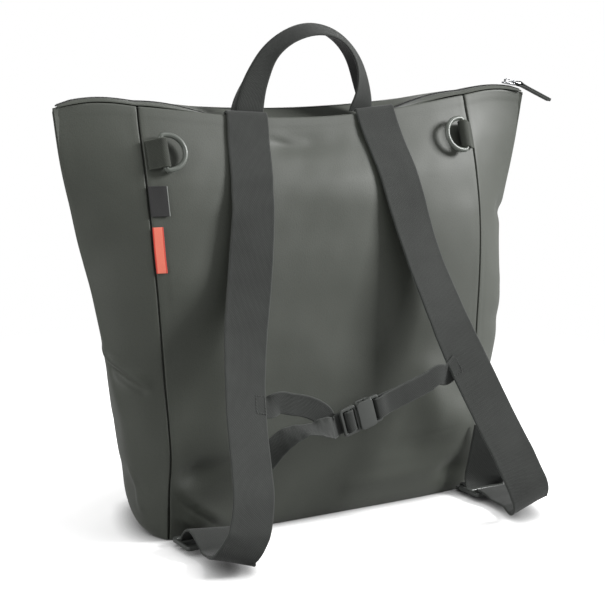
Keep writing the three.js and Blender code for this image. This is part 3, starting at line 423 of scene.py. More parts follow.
def sheet_mesh(name, outer, inner, uv=None):
    """A closed sheet between two grids of points, rolled over at its edges."""
    rows, cols = len(outer), len(outer[0])
    points = [p for row in outer for p in row] + [p for row in inner for p in row]
    back = rows * cols
    at = lambda j, i, layer=0: layer * back + j * cols + i
    faces = []
    for j in range(rows - 1):
        for i in range(cols - 1):
            faces.append((at(j, i), at(j, i + 1), at(j + 1, i + 1), at(j + 1, i)))
            faces.append((at(j, i, 1), at(j + 1, i, 1), at(j + 1, i + 1, 1), at(j, i + 1, 1)))
    for i in range(cols - 1):
        faces.append((at(0, i + 1), at(0, i), at(0, i, 1), at(0, i + 1, 1)))
        last = rows - 1
        faces.append((at(last, i), at(last, i + 1), at(last, i + 1, 1), at(last, i, 1)))
    for j in range(rows - 1):
        faces.append((at(j, 0), at(j + 1, 0), at(j + 1, 0, 1), at(j, 0, 1)))
        last = cols - 1
        faces.append((at(j + 1, last), at(j, last), at(j, last, 1), at(j + 1, last, 1)))
    mesh = mesh_from(name, points, faces, None if uv is None else list(uv) * 2)
    bm = bmesh.new()
    bm.from_mesh(mesh)
    if bm.calc_volume(signed=True) < 0:
        bmesh.ops.reverse_faces(bm, faces=bm.faces)
    bm.to_mesh(mesh)
    bm.free()
    return mesh


def resample(stations, step):
    """Stations, each a point and a hint of its direction across, closer together along a smooth curve."""
    made = []
    count = len(stations)
    for i in range(count - 1):
        p0 = stations[max(i - 1, 0)][0]
        p1, h1 = stations[i]
        p2, h2 = stations[i + 1]
        p3 = stations[min(i + 2, count - 1)][0]
        length = (p2 - p1).length
        before = max((p1 - p0).length, 1e-6)
        after = max((p3 - p2).length, 1e-6)
        m1 = (p2 - p1) / length * 0.5 + (p1 - p0) / before * 0.5 if i else (p2 - p1) / length
        m2 = (p2 - p1) / length * 0.5 + (p3 - p2) / after * 0.5 if i < count - 2 else (p2 - p1) / length
        m1 = m1 * length
        m2 = m2 * length
        parts = max(1, math.ceil(length / step))
        for k in range(parts):
            t = k / parts
            point = (
                p1 * (2 * t**3 - 3 * t**2 + 1)
                + m1 * (t**3 - 2 * t**2 + t)
                + p2 * (3 * t**2 - 2 * t**3)
                + m2 * (t**3 - t**2)
            )
            ease = t * t * (3 - 2 * t)
            made.append((point, h1.lerp(h2, ease)))
    made.append(stations[-1])
    return made


def frames(stations):
    """Each station's point, and its directions along, across and out."""
    made = []
    last = len(stations) - 1
    for i, (point, hint) in enumerate(stations):
        along = (stations[min(i + 1, last)][0] - stations[max(i - 1, 0)][0]).normalized()
        across = (hint - along * hint.dot(along)).normalized()
        made.append((point, along, across, along.cross(across)))
    return made


def web_section(wide, thick, points):
    """The cross-section of webbing: flat, with a slightly fuller selvedge and round edges."""
    half = wide / 2
    top = []
    for i in range(points):
        a = math.pi * i / (points - 1)
        x = -math.cos(a)
        flat = math.copysign(abs(x) ** 0.55, x)
        edge = half - abs(flat) * half
        swell = SELVEDGE * math.exp(-(((edge - 1.3) / 0.9) ** 2))
        lift = math.sqrt(max(0, 1 - max(0, 1 - edge / (thick / 2)) ** 2))
        top.append((flat * half, (thick / 2 + swell) * lift))
    return top + [(x, -z) for x, z in reversed(top[1:-1])]


def webbing(name, stations, wide, thick, step, wave=None, points=13):
    """A closed strap along stations, with its UV map in millimetres across and along."""
    made = frames(resample(stations, step))
    profile = web_section(wide, thick, points)
    count = len(profile)
    verts, uv, faces = [], [], []
    run = 0
    for i, (point, _, across, out) in enumerate(made):
        if i:
            run += (point - made[i - 1][0]).length
        for x, z in profile:
            ripple = wave(run, x) if wave else 0
            verts.append(point + across * x + out * (z + ripple))
            uv.append((x, run))
    for i in range(len(made) - 1):
        for k in range(count):
            a, b = i * count + k, i * count + (k + 1) % count
            faces.append((a, b, b + count, a + count))
    for end, flip in ((0, True), ((len(made) - 1) * count, False)):
        ring = [end + k for k in range(count)]
        for k in range(count // 2):
            quad = [ring[k], ring[k + 1], ring[(count - k - 1) % count], ring[(count - k) % count]]
            quad = list(dict.fromkeys(quad))
            if len(quad) > 2:
                faces.append(tuple(reversed(quad)) if flip else tuple(quad))
    mesh = mesh_from(name, verts, faces, uv)
    outwards(mesh)
    return mesh


def tube_mesh(name, points, radius, sides):
    """A tube along a closed line of points."""
    verts, faces, uv = [], [], []
    count = len(points)
    run = 0
    up = V(0, 0, 1)
    for i, point in enumerate(points):
        along = (points[(i + 1) % count] - points[i - 1]).normalized()
        side = along.cross(up)
        if side.length < 0.2:
            side = along.cross(V(0, 1, 0))
        side.normalize()
        rise = side.cross(along)
        run += (point - points[i - 1]).length if i else 0
        for k in range(sides):
            a = 2 * math.pi * k / sides
            verts.append(point + side * (radius * math.cos(a)) + rise * (radius * math.sin(a)))
            uv.append((radius * a, run))
    for i in range(count):
        for k in range(sides):
            a, b = i * sides + k, i * sides + (k + 1) % sides
            c, d = ((i + 1) % count) * sides + (k + 1) % sides, ((i + 1) % count) * sides + k
            faces.append((a, b, c, d))
    mesh = mesh_from(name, verts, faces, uv)
    outwards(mesh)
    return mesh


def rounded(wide, tall, radius, steps=5, x=0, y=0):
    """A rounded rectangle as a closed line of points."""
    points = []
    for turn, (sx, sy) in enumerate(((1, -1), (1, 1), (-1, 1), (-1, -1))):
        for k in range(steps + 1):
            a = math.pi / 2 * (turn - 1 + k / steps)
            points.append((
                x + sx * (wide / 2 - radius) + radius * math.cos(a),
                y + sy * (tall / 2 - radius) + radius * math.sin(a),
            ))
    return points


def moulded_mesh(name, outlines, thick, edge, place):
    """A plate with holes, moulded with rounded edges. place takes it from its own frame."""
    curve = bpy.data.curves.new(name, "CURVE")
    curve.dimensions = "2D"
    curve.fill_mode = "BOTH"
    for outline in outlines:
        spline = curve.splines.new("POLY")
        spline.points.add(len(outline) - 1)
        for point, (x, y) in zip(spline.points, outline):
            point.co = (x, y, 0, 1)
        spline.use_cyclic_u = True
    curve.extrude = thick / 2 - edge
    curve.bevel_depth = edge
    curve.bevel_resolution = 3
    curve.offset = -edge
    mesh = evaluated(linked(name, curve))
    bpy.data.curves.remove(curve)
    mesh.transform(Matrix.Scale(MM, 4) @ place)
    outwards(mesh)
    return mesh


def joined(name, meshes):
    """Several meshes as one."""
    bm = bmesh.new()
    for mesh in meshes:
        bm.from_mesh(mesh)
    made = bpy.data.meshes.new(name)
    bm.to_mesh(made)
    bm.free()
    for mesh in meshes:
        bpy.data.meshes.remove(mesh)
    return made


# ---- Nodes ----
def fill(tree, node, inputs):
    """Sets a node's inputs to values, or links them to the sockets of other nodes."""
    for label, value in inputs.items():
        if hasattr(value, "is_output"):
            tree.links.new(value, node.inputs[label])
        else:
            node.inputs[label].default_value = value
    return node


def new_node(tree, kind, inputs=None, **fields):
    """A node. Its fields are set first, because some of them decide which inputs it has."""
    node = tree.nodes.new(kind)
    for field, value in fields.items():
        setattr(node, field, value)
    return fill(tree, node, inputs or {})


def built_once(store):
    """For a function that builds something by its name: the second call returns the first one's."""

    def keep(build):
        def found_or_built(name, *values, **more):
            made = getattr(bpy.data, store)
            return made[name] if name in made else build(name, *values, **more)

        return found_or_built

    return keep


def group(name, inputs, outputs):
    """A shader node group. An input without a number is a vector, and every output is a number."""
    tree = bpy.data.node_groups.new(name, "ShaderNodeTree")
    for label, value in inputs.items():
        kind = "NodeSocketVector" if value is None else "NodeSocketFloat"
        socket = tree.interface.new_socket(name=label, in_out="INPUT", socket_type=kind)
        if value is not None:
            socket.default_value = value
    for label in outputs:
        tree.interface.new_socket(name=label, in_out="OUTPUT", socket_type="NodeSocketFloat")
    return tree, tree.nodes.new("NodeGroupInput").outputs, tree.nodes.new("NodeGroupOutput")


def placed(tree, made, inputs):
    """A group placed in a material, as its outputs."""
    return new_node(tree, "ShaderNodeGroup", inputs, node_tree=made).outputs


def math_node(tree, operation, *values, clamp=False):
    inputs = dict(enumerate(values))
    return new_node(tree, "ShaderNodeMath", inputs, operation=operation, use_clamp=clamp).outputs[0]


def scaled(tree, vector, share):
    """A vector or colour made longer or brighter by a share."""
    return new_node(tree, "ShaderNodeVectorMath", {0: vector, "Scale": share}, operation="SCALE").outputs["Vector"]


def noise_node(tree, vector, scale, detail=3, roughness=0.5):
    inputs = {"Vector": vector, "Scale": scale, "Detail": detail, "Roughness": roughness}
    return new_node(tree, "ShaderNodeTexNoise", inputs).outputs[0]


def mixed_colour(tree, factor, low, high):
    """A colour between two others, each of them a socket or three numbers."""
    low, high = (colour if hasattr(colour, "is_output") else (*colour, 1) for colour in (low, high))
    inputs = {"A": low, "B": high, "Factor": factor}
    return new_node(tree, "ShaderNodeMix", inputs, data_type="RGBA").outputs["Result"]


def bump(tree, height, strength, distance):
    inputs = {"Height": height, "Strength": strength, "Distance": distance}
    return new_node(tree, "ShaderNodeBump", inputs).outputs["Normal"]


def ranged(tree, value, low, high):
    inputs = {"Value": value, "To Min": low, "To Max": high}
    return new_node(tree, "ShaderNodeMapRange", inputs).outputs["Result"]


# ---- Materials ----
@built_once("node_groups")
def grain_group(name):
    """The fine pebbled grain of coated cloth: a height, and a mask of its hollows."""
    tree, given, made = group(name, {"Vector": None, "Pebble": 900.0}, ("Height", "Hollow"))
    inputs = {"Vector": given["Vector"], "Scale": given["Pebble"], "Smoothness": 0.6}
    cells = new_node(tree, "ShaderNodeTexVoronoi", inputs, feature="SMOOTH_F1").outputs["Distance"]
    fine = noise_node(tree, given["Vector"], 2600, 2)
    height = math_node(tree, "ADD", cells, math_node(tree, "MULTIPLY", fine, 0.35))
    hollow = math_node(tree, "SUBTRACT", cells, 0.25, clamp=True)
    fill(tree, made, {"Height": math_node(tree, "MULTIPLY", height, -1), "Hollow": hollow})
    return tree


@built_once("node_groups")
def weave_group(name):
    """Narrow webbing: lengthwise ribs crossed by picks, from a map in millimetres."""
    tree, given, made = group(name, {"Across": 0.0, "Along": 0.0, "Rib": 1.3, "Pick": 1.7}, ("Height", "Thread"))
    across = math_node(tree, "DIVIDE", given["Across"], given["Rib"])
    along = math_node(tree, "DIVIDE", given["Along"], given["Pick"])
    phase = math_node(tree, "MULTIPLY", math_node(tree, "MODULO", math_node(tree, "FLOOR", across), 2), math.pi)
    rib = math_node(tree, "ABSOLUTE", math_node(tree, "SINE", math_node(tree, "MULTIPLY", across, math.pi)))
    turn = math_node(tree, "ADD", math_node(tree, "MULTIPLY", along, 2 * math.pi), phase)
    pick = math_node(tree, "MULTIPLY_ADD", math_node(tree, "SINE", turn), 0.35, 0.65)
    thread = math_node(tree, "MULTIPLY", math_node(tree, "POWER", rib, 0.6), pick)
    fill(tree, made, {"Height": thread, "Thread": thread})
    return tree


@built_once("node_groups")
def wear_group(name):
    """Soft patches of tone, and a fine dust of lighter specks."""
    tree, given, made = group(name, {"Vector": None, "Patch": 14.0}, ("Tone", "Dust"))
    broad = noise_node(tree, given["Vector"], given["Patch"], 4, 0.55)
    specks = noise_node(tree, given["Vector"], 700, 2, 0.6)
    dust = math_node(tree, "MULTIPLY", math_node(tree, "SUBTRACT", specks, 0.62, clamp=True), 3, clamp=True)
    fill(tree, made, {"Tone": broad, "Dust": dust})
    return tree


def new_material(name):
    material = bpy.data.materials.new(name)
    material.use_nodes = True
    tree = material.node_tree
    return material, tree, tree.nodes["Principled BSDF"]


def worn(tree, patch):
    """The place on the piece, and the wear group there."""
    place = new_node(tree, "ShaderNodeTexCoord").outputs["Object"]
    return place, placed(tree, wear_group("Soft Wear"), {"Vector": place, "Patch": patch})


def woven_in(tree, rib, pick):
    """The place across a piece's own map, and the weave group there."""
    uv = new_node(tree, "ShaderNodeUVMap", uv_map="Cloth")
    split = new_node(tree, "ShaderNodeSeparateXYZ", {"Vector": uv.outputs["UV"]}).outputs
    inputs = {"Across": split["X"], "Along": split["Y"], "Rib": rib, "Pick": pick}
    return split["X"], placed(tree, weave_group("Rib Weave"), inputs)


def shaded(colour, share):
    return tuple(c * share for c in colour)


@built_once("materials")
def coated_cloth(name, colour, roughness, pebble=900.0):
    """Matte coated cloth with a fine pebbled grain and soft changes of tone."""
    material, tree, shader = new_material(name)
    place, wear = worn(tree, 9)
    grain = placed(tree, grain_group("Coated Grain"), {"Vector": place, "Pebble": pebble})
    tone = mixed_colour(tree, wear["Tone"], shaded(colour, 0.9), shaded(colour, 1.1))
    # Painted shade: the hollows of the grain are darker.
    base = mixed_colour(tree, math_node(tree, "MULTIPLY", grain["Hollow"], 0.5), tone, shaded(colour, 0.7))
    dusty = math_node(tree, "MULTIPLY", wear["Dust"], 0.25)
    fill(tree, shader, {
        "Base Color": mixed_colour(tree, dusty, base, shaded(colour, 1.7)),
        "Roughness": ranged(tree, wear["Tone"], roughness - 0.05, roughness + 0.06),
        "Normal": bump(tree, grain["Height"], 0.2, 0.00025),
        "Specular IOR Level": 0.42,
        "Sheen Weight": 0.12,
        "Sheen Roughness": 0.45,
    })
    return material


@built_once("materials")
def web_cloth(name, colour, half=20.0, rib=1.1, pick=1.3, lined=False):
    """Webbing in its own map: ribs and picks with painted shade where the weave is low, a painted highlight along
    both edges, and worn threads. A lining is smooth and dark.
    """
    material, tree, shader = new_material(name)
    across, weave = woven_in(tree, rib, pick)
    _, wear = worn(tree, 45)
    # Painted shade: the weave is darker where it is low, between ribs and picks.
    thread = mixed_colour(tree, weave["Thread"], shaded(colour, 0.5), shaded(colour, 1.22))
    toned = scaled(tree, thread, ranged(tree, wear["Tone"], 0.72, 1.28))
    # Painted highlight: a lighter band along both edges of the webbing, where light catches them.
    edge = math_node(tree, "SUBTRACT", math_node(tree, "ABSOLUTE", across), half - 1.5, clamp=True)
    rim = mixed_colour(tree, math_node(tree, "MULTIPLY", edge, 0.7, clamp=True), toned, shaded(colour, 1.5))
    base = mixed_colour(tree, math_node(tree, "MULTIPLY", wear["Dust"], 0.3), rim, shaded(colour, 2.1))
    roughness = 0.82
    if lined:
        inside = math_node(tree, "SUBTRACT", across, LINING_AWAY / 2, clamp=True)
        base = mixed_colour(tree, inside, base, shaded(colour, 0.3))
        roughness = ranged(tree, inside, roughness, 0.35)
    fill(tree, shader, {
        "Base Color": base,
        "Roughness": roughness,
        "Normal": bump(tree, weave["Height"], 0.6, 0.0004),
        "Sheen Weight": 0.1,
        "Sheen Roughness": 0.5,
        "Specular IOR Level": 0.25,
    })
    return material


@built_once("materials")
def hard_finish(name, colour, metallic, roughness, speckle=400.0, relief=0.1, coat=0.0):
    """Moulded plastic, lacquer or plated metal, with a faint texture and uneven gloss."""
    material, tree, shader = new_material(name)
    place, wear = worn(tree, 60)
    fill(tree, shader, {
        "Base Color": mixed_colour(tree, wear["Tone"], shaded(colour, 0.9), shaded(colour, 1.1)),
        "Roughness": ranged(tree, wear["Tone"], roughness - 0.06, roughness + 0.08),
        "Normal": bump(tree, noise_node(tree, place, speckle, 2), relief, 0.0002),
        "Metallic": metallic,
        "Coat Weight": coat,
        "Coat Roughness": 0.2,
    })
    return material


@built_once("materials")
def woven_label(name, colour, rim, wide, border, both):
    """A damask-woven label with a fine weave and a border of another colour, from its own map."""
    material, tree, shader = new_material(name)
    across, weave = woven_in(tree, LABEL_RIB, LABEL_RIB * 1.4)
    # Painted shade: the weave is darker where it is low.
    base = mixed_colour(tree, weave["Thread"], shaded(colour, 0.8), shaded(colour, 1.1))
    if both:
        across = math_node(tree, "ABSOLUTE", math_node(tree, "SUBTRACT", across, wide / 2))
        wide = wide / 2
    edge = math_node(tree, "SUBTRACT", across, wide - border, clamp=True)
    fill(tree, shader, {
        "Base Color": mixed_colour(tree, math_node(tree, "MULTIPLY", edge, 2.5, clamp=True), base, rim),
        "Roughness": 0.75,
        "Normal": bump(tree, weave["Height"], 0.35, 0.0001),
        "Sheen Weight": 0.15,
    })
    return material


# ---- Geometry nodes ----
@built_once("node_groups")
def stitch_tree(name):
    """Thread stitches along a line: Pitch, Length, Radius and Height in metres."""
    tree = bpy.data.node_groups.new(name, "GeometryNodeTree")
    socket = tree.interface.new_socket
    socket(name="Line", in_out="INPUT", socket_type="NodeSocketGeometry")
    for label, value in (("Pitch", 0.003), ("Length", 0.0022), ("Radius", 0.00035), ("Height", 0.00035)):
        socket(name=label, in_out="INPUT", socket_type="NodeSocketFloat").default_value = value
    socket(name="Thread", in_out="INPUT", socket_type="NodeSocketMaterial")
    socket(name="Stitches", in_out="OUTPUT", socket_type="NodeSocketGeometry")
    given = tree.nodes.new("NodeGroupInput").outputs
    curve = new_node(tree, "GeometryNodeMeshToCurve", {"Mesh": given["Line"]}).outputs["Curve"]
    inputs = {"Curve": curve, "Length": given["Pitch"]}
    spread = new_node(tree, "GeometryNodeResampleCurve", inputs, mode="LENGTH")
    ball = new_node(tree, "GeometryNodeMeshUVSphere", {"Segments": 6, "Rings": 4, "Radius": 1.0})
    tangent = tree.nodes.new("GeometryNodeInputTangent").outputs[0]
    align = new_node(tree, "FunctionNodeAlignRotationToVector", {"Vector": tangent}, axis="X")
    half = math_node(tree, "MULTIPLY", given["Length"], 0.5)
    size = new_node(tree, "ShaderNodeCombineXYZ", {"X": half, "Y": given["Radius"], "Z": given["Height"]})
    place = new_node(tree, "GeometryNodeInstanceOnPoints", {
        "Points": spread.outputs["Curve"],
        "Instance": ball.outputs["Mesh"],
        "Rotation": align.outputs["Rotation"],
        "Scale": size.outputs["Vector"],
    })
    real = new_node(tree, "GeometryNodeRealizeInstances", {"Geometry": place.outputs["Instances"]})
    inputs = {"Geometry": real.outputs["Geometry"], "Material": given["Thread"]}
    finish = new_node(tree, "GeometryNodeSetMaterial", inputs)
    new_node(tree, "NodeGroupOutput", {"Stitches": finish.outputs["Geometry"]})
    return tree


def stitches(name, lines, material, pitch, length, radius, height=None, body="bag"):
    """Rows of stitches along lines of points, as one plain mesh."""
    verts, edges = [], []
    for line in lines:
        first = len(verts)
        verts += [tuple(c * MM for c in p) for p in line]
        edges += [(first + i, first + i + 1) for i in range(len(line) - 1)]
    lines_mesh = bpy.data.meshes.new(name + "_line")
    lines_mesh.from_pydata(verts, edges, [])
    holder = linked(name + "_line", lines_mesh)
    tree = stitch_tree("Stitch Row")
    modifier = holder.modifiers.new("Stitches", "NODES")
    modifier.node_group = tree
    values = {"Pitch": pitch * MM, "Length": length * MM, "Radius": radius * MM, "Thread": material}
    values["Height"] = (height or radius) * MM
    for item in tree.interface.items_tree:
        if item.in_out == "INPUT" and item.name in values:
            modifier[item.identifier] = values[item.name]
    mesh = evaluated(holder)
    bpy.data.meshes.remove(lines_mesh)
    mesh.name = name
    return finish_mesh(name, mesh, material, body, 180)


# ---- Relief of the cloth ----
# Soft folds: a line over a panel in millimetres, its width and depth. A ridge stands out, or goes in
# where its depth is below 0, a step has one side higher than the other, and a tuck drops sharply.
# On the back and front the place across is from the middle, on a gusset from its back seam. Under
# them lie soft waves: for broad and fine ones, their depth, number and length.
WAVES = ((1.1, 9, 95), (0.28, 12, 30))
TUCK_DROP = 1.5
STEP_SHAPE = 2.33  # makes a step as high as its depth
FOLDS = table(
    "panel x0 z0 x1 z1 width depth kind",
    [
        ("back", -166, 55, -84, 69, 9, -2.6, "ridge"),
        ("back", -162, 52, -137, 30, 10, 1.5, "tuck"),
        ("back", -137, 30, -104, 5, 10, 1.5, "tuck"),
        ("back", -166, 55, -137, 30, 3.2, -1.3, "ridge"),
        ("back", -137, 30, -104, 5, 3.2, -1.3, "ridge"),
        ("back", -153, 24, -140, 14, 4, 0.9, "tuck"),
        ("back", -106, 190, -106, 95, 26, 4.0, "ridge"),
        ("back", 104, 118, 112, 66, 22, 8.0, "ridge"),
        ("back", 60, 56, 140, 52, 12, -1.6, "ridge"),
        ("back", 20, 26, 125, 30, 9, 1.8, "ridge"),
        ("back", -44, 353, -16, 344, 6, 0.5, "step"),
        ("back", -20, 336, 48, 330, 16, 0.8, "ridge"),
        ("back", -150, 230, -110, 210, 22, 1.4, "ridge"),
        ("back", 60, 200, 140, 160, 26, 1.5, "ridge"),
        ("back", -60, 180, 40, 120, 30, 1.8, "ridge"),
        ("back", -40, 90, 60, 78, 20, -1.4, "ridge"),
        ("gusset_left", 18, 139, 58, 165, 5, 2.6, "step"),
        ("gusset_left", 30, 28, 42, 60, 5, 2.2, "ridge"),
        ("gusset_left", 30, 300, 70, 250, 20, 1.6, "ridge"),
        ("gusset_left", 40, 110, 80, 90, 14, -1.6, "ridge"),
        ("gusset_right", 9, 24, 9, 120, 9, 6.5, "ridge"),
        ("gusset_right", 26, 20, 26, 110, 9, -2.5, "ridge"),
        ("gusset_right", 48, 110, 48, 190, 20, 4.5, "ridge"),
        ("gusset_right", 46, 264, 80, 250, 7, -3.0, "ridge"),
        ("gusset_right", 60, 90, 90, 60, 14, 2.0, "ridge"),
        ("front", -120, 300, -40, 330, 18, 1.8, "ridge"),
        ("front", 30, 310, 130, 290, 20, 1.6, "ridge"),
        ("front", -100, 30, 90, 26, 14, -1.5, "ridge"),
        ("pocket", -90, 240, 60, 226, 16, -1.4, "ridge"),
        ("pocket", -110, 90, -20, 60, 18, 1.5, "ridge"),
        ("pocket", 40, 80, 120, 120, 18, 1.3, "ridge"),
    ],
)
# The groove of a side seam: its depth at the floor and the top, half its width, and its edges' roll
SEAM_ROLL = {"low": 3.4, "high": 2.6, "half": 0.8, "round": 1.0}
# This near a seam, the cloth of both panels is pushed along one shared direction
SEAM_EASE = 5
HEM_DEPTH = 9
# How far below the mouth the rounding of a wing's corner fades out
CORNER_EASE = 30
# The folds fade out towards the floor, the mouth and the seams
FADE_LOW, FADE_TOP, FADE_SEAM = 14, 22, 12
# High on the back they stand out less, because rings, labels and straps lie on it there
CALM_FROM, CALM_OVER, CALM_RELIEF = 270, 15, 0.7
# How often the grids of the gussets and the handle are evened out
WING_PASSES, HANDLE_PASSES = 9, 60


def waves(seed, count, length):
    """Soft waves in every direction, up to 1 high, as a function of two places in millimetres."""
    rng = random.Random(seed)
    made = []
    for _ in range(count):
        angle = rng.uniform(0, math.pi)
        size = length * rng.uniform(0.7, 1.5)
        k = 2 * math.pi / size
        made.append((k * math.cos(angle), k * math.sin(angle), rng.uniform(0, 6.28), rng.uniform(0.5, 1)))
    total = sum(m[3] for m in made)
    return lambda x, z: sum(a * np.sin(i * x + j * z + p) for i, j, p, a in made) / total


def relief(panel, x, z, strength=1.0):
    """How far the cloth stands out of its plain form, in millimetres, over arrays of places."""
    x = np.asarray(x, dtype=float)
    z = np.asarray(z, dtype=float)
    seed = sum(ord(c) for c in panel)
    total = sum(depth * waves(seed + k, count, length)(x, z) for k, (depth, count, length) in enumerate(WAVES))
    for row in FOLDS:
        if row["panel"] != panel:
            continue
        dx, dz = row["x1"] - row["x0"], row["z1"] - row["z0"]
        length = math.hypot(dx, dz)
        t = ((x - row["x0"]) * dx + (z - row["z0"]) * dz) / length**2
        off = ((x - row["x0"]) * -dz + (z - row["z0"]) * dx) / length
        over = np.maximum(0, np.maximum(-t, t - 1)) * length / row["width"]
        ease = np.exp(-(over**2)) * (0.55 + 0.45 * np.sin(np.pi * np.clip(t, 0, 1)))
        s = off / row["width"]
        if row["kind"] == "tuck":
            s = np.where(s > 0, s, s * row["width"] / TUCK_DROP)
        shape = np.exp(-(s**2)) * (STEP_SHAPE * s if row["kind"] == "step" else 1)
        total = total + row["depth"] * ease * shape
    return total * strength


def steps_between(low, high, step, edge=(0, 0.25, 0.55, 0.9, 1.3, 1.8, 2.4, 3.1, 4, 5)):
    """Places from low to high, step apart, and closer together at both ends."""
    inner = np.linspace(low + edge[-1], high - edge[-1], max(2, int((high - low) / step)))
    return np.concatenate([low + np.array(edge[:-1]), inner, high - np.array(edge[:-1][::-1])])


def skin_grid(panel, stations, ups, side=1):
    """The bag's outside as a grid of points."""
    return np.array([[skin(panel, a, u, side)[:] for a in stations] for u in ups])


def grid_normals(points):
    """Straight out of a grid of points, at each of them."""
    along = np.gradient(points, axis=1)
    rising = np.gradient(points, axis=0)
    made = np.cross(along, rising)
    return made / np.maximum(np.linalg.norm(made, axis=2, keepdims=True), 1e-9)


def seam_roll(distance, up):
    """How far the surface turns in towards a seam at a distance from it."""
    deep = SEAM_ROLL["low"] + (SEAM_ROLL["high"] - SEAM_ROLL["low"]) * np.clip(up, 0, 1) ** 0.7
    from_groove = np.clip((distance - SEAM_ROLL["half"]) / SEAM_ROLL["round"], 0, 1)
    roll = SEAM_ROLL["round"] * (1 - np.sqrt(np.clip(1 - (1 - from_groove) ** 2, 0, 1)))
    bead = 0.12 * np.exp(-(((distance - 4.5) / 2.2) ** 2))
    return bead - roll - np.where(distance < SEAM_ROLL["half"], deep, 0)


def seam_ways(ups, side, front):
    """Which way points straight out of a side seam, at each height."""
    panel, end = ("front", 1) if front else ("back", 0)
    return np.array([(normal(panel, side, u) + normal("gusset", end, u, side)).normalized()[:] for u in ups])


def cloth_panel(name, panel, side, nodes, settings, step=SIDE_STEP):
    """One wall of the bag as a closed sheet with its folds, seams and hem."""
    ups_mm = steps_between(0, BODY_HEIGHT, step)
    ups = ups_mm / BODY_HEIGHT
    gusset = panel == "gusset"
    wide = GUSSET_WIDTH if gusset else 2 * PANEL_HALF
    places = steps_between(0, wide, step if not gusset else step * 0.75)
    share = places / wide
    stations = share if gusset else 2 * share - 1
    points = skin_grid(panel, stations, ups, side)
    if gusset:
        widest = np.abs(points[:, :, 0]).max(axis=1, keepdims=True)
        for _ in range(WING_PASSES):
            points[:, 1:-1] = points[:, 1:-1] * 0.5 + (points[:, :-2] + points[:, 2:]) * 0.25
        far = np.abs(points[:, :, 0])
        reached = far.max(axis=1, keepdims=True)
        points[:, :, 0] += side * (widest - reached) * np.clip(1 - (reached - far) / 12, 0, 1) ** 2
    steps = np.linalg.norm(np.diff(points, axis=1), axis=2)
    run = np.concatenate([np.zeros((len(ups), 1)), np.cumsum(steps, axis=1)], axis=1)
    total = run[:, -1:]
    x = run if gusset else run - total / 2
    z = np.repeat(ups_mm[:, None], len(stations), axis=1)
    normals = grid_normals(points)
    outward = points[len(ups) // 2, len(stations) // 2] - np.array([0, 0, BODY_HEIGHT / 2])
    if np.dot(normals[len(ups) // 2, len(stations) // 2], outward) < 0:
        normals = -normals
    label = panel if not gusset else ("gusset_left" if side < 0 else "gusset_right")
    up_grid = z / BODY_HEIGHT
    ends = np.minimum(run, total - run)
    from_top = BODY_HEIGHT - z
    low, top = np.clip(z / FADE_LOW, 0, 1), np.clip(from_top / FADE_TOP, 0, 1)
    made = relief(label, x, z, settings.wrinkle) * low * top * np.clip(ends / FADE_SEAM, 0, 1)
    if panel == "back":
        calm = mix(made, CALM_RELIEF * np.tanh(made / CALM_RELIEF), np.clip((z - CALM_FROM) / CALM_OVER, 0, 1))
        made = np.where(made > 0, calm, made)
    made += settings.seam * seam_roll(ends, up_grid)
    ways = normals
    for far, which in ((run, 0), (total - run, 1)):
        seam = seam_ways(ups, side, which == 1) if gusset else seam_ways(ups, (-1, 1)[which], panel == "front")
        near = np.clip(1 - far / SEAM_EASE, 0, 1)[:, :, None]
        ways = ways + (seam[:, None, :] - ways) * near * near * (3 - 2 * near)
    made += 0.2 * np.clip((HEM_DEPTH - from_top) / 1.2, 0, 1) - 0.5 * np.clip(1 - from_top / 1.4, 0, 1) ** 2
    made -= 0.5 * np.clip(1 - z / 1.5, 0, 1) ** 2
    outer = points + ways * made[:, :, None]
    if gusset:
        near = np.clip(1 - from_top / CORNER_EASE, 0, 1)
        drops = np.vectorize(corner_drop)(WING_HALF - np.abs(points[:, :, 0]))
        outer[:, :, 2] -= near * drops
    outer[:, :, 2] = np.maximum(outer[:, :, 2], FLOOR_CLEAR)
    inner = points + ways * (np.minimum(made, 0.4) - CLOTH)[:, :, None]
    inner[0, :, 2] = outer[0, :, 2]
    inner[-1, :, 2] = outer[-1, :, 2] - 0.3
    mesh = sheet_mesh(name, outer.tolist(), inner.tolist())
    obj = finish_mesh(name, mesh, cloth_of(settings), smooth_angle=60)
    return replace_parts(obj, *nodes)


def cloth_of(settings):
    return coated_cloth("Coated Cloth", tuple(settings.cloth), 0.55)


def plastic_of(settings):
    return hard_finish("Moulded Plastic", tuple(settings.plastic), 0.0, 0.3, 900, 0.12)


def thread_of(settings):
    return hard_finish("Thread", shaded(settings.webbing, 1.25), 0.0, 0.6, 2500, 0.3)


def web_of(settings, wide=WEB_WIDTH):
    """The webbing of each width. The loops of the rings have the walls' colour."""
    names = {
        WEB_WIDTH: "Webbing Wide",
        LOOP_WIDTH: "Webbing Loop",
        ADJUSTER_LOOP: "Webbing Narrow",
        CHEST_WIDTH: "Webbing Chest",
    }
    colour = shaded(settings.cloth, 0.85) if wide == LOOP_WIDTH else tuple(settings.webbing)
    return web_cloth(names[wide], colour, wide / 2)


def build_body(settings):
    """The four walls. The back has the finest mesh, because it is seen from nearest."""
    cloth_panel("bag_back", "back", 1, ["back_panel"], settings, BACK_STEP)
    cloth_panel("bag_front", "front", 1, ["front_panel"], settings, FAR_STEP)
    cloth_panel("bag_gusset_left", "gusset", -1, ["gusset_left"], settings)
    cloth_panel("bag_gusset_right", "gusset", 1, ["gusset_right"], settings)


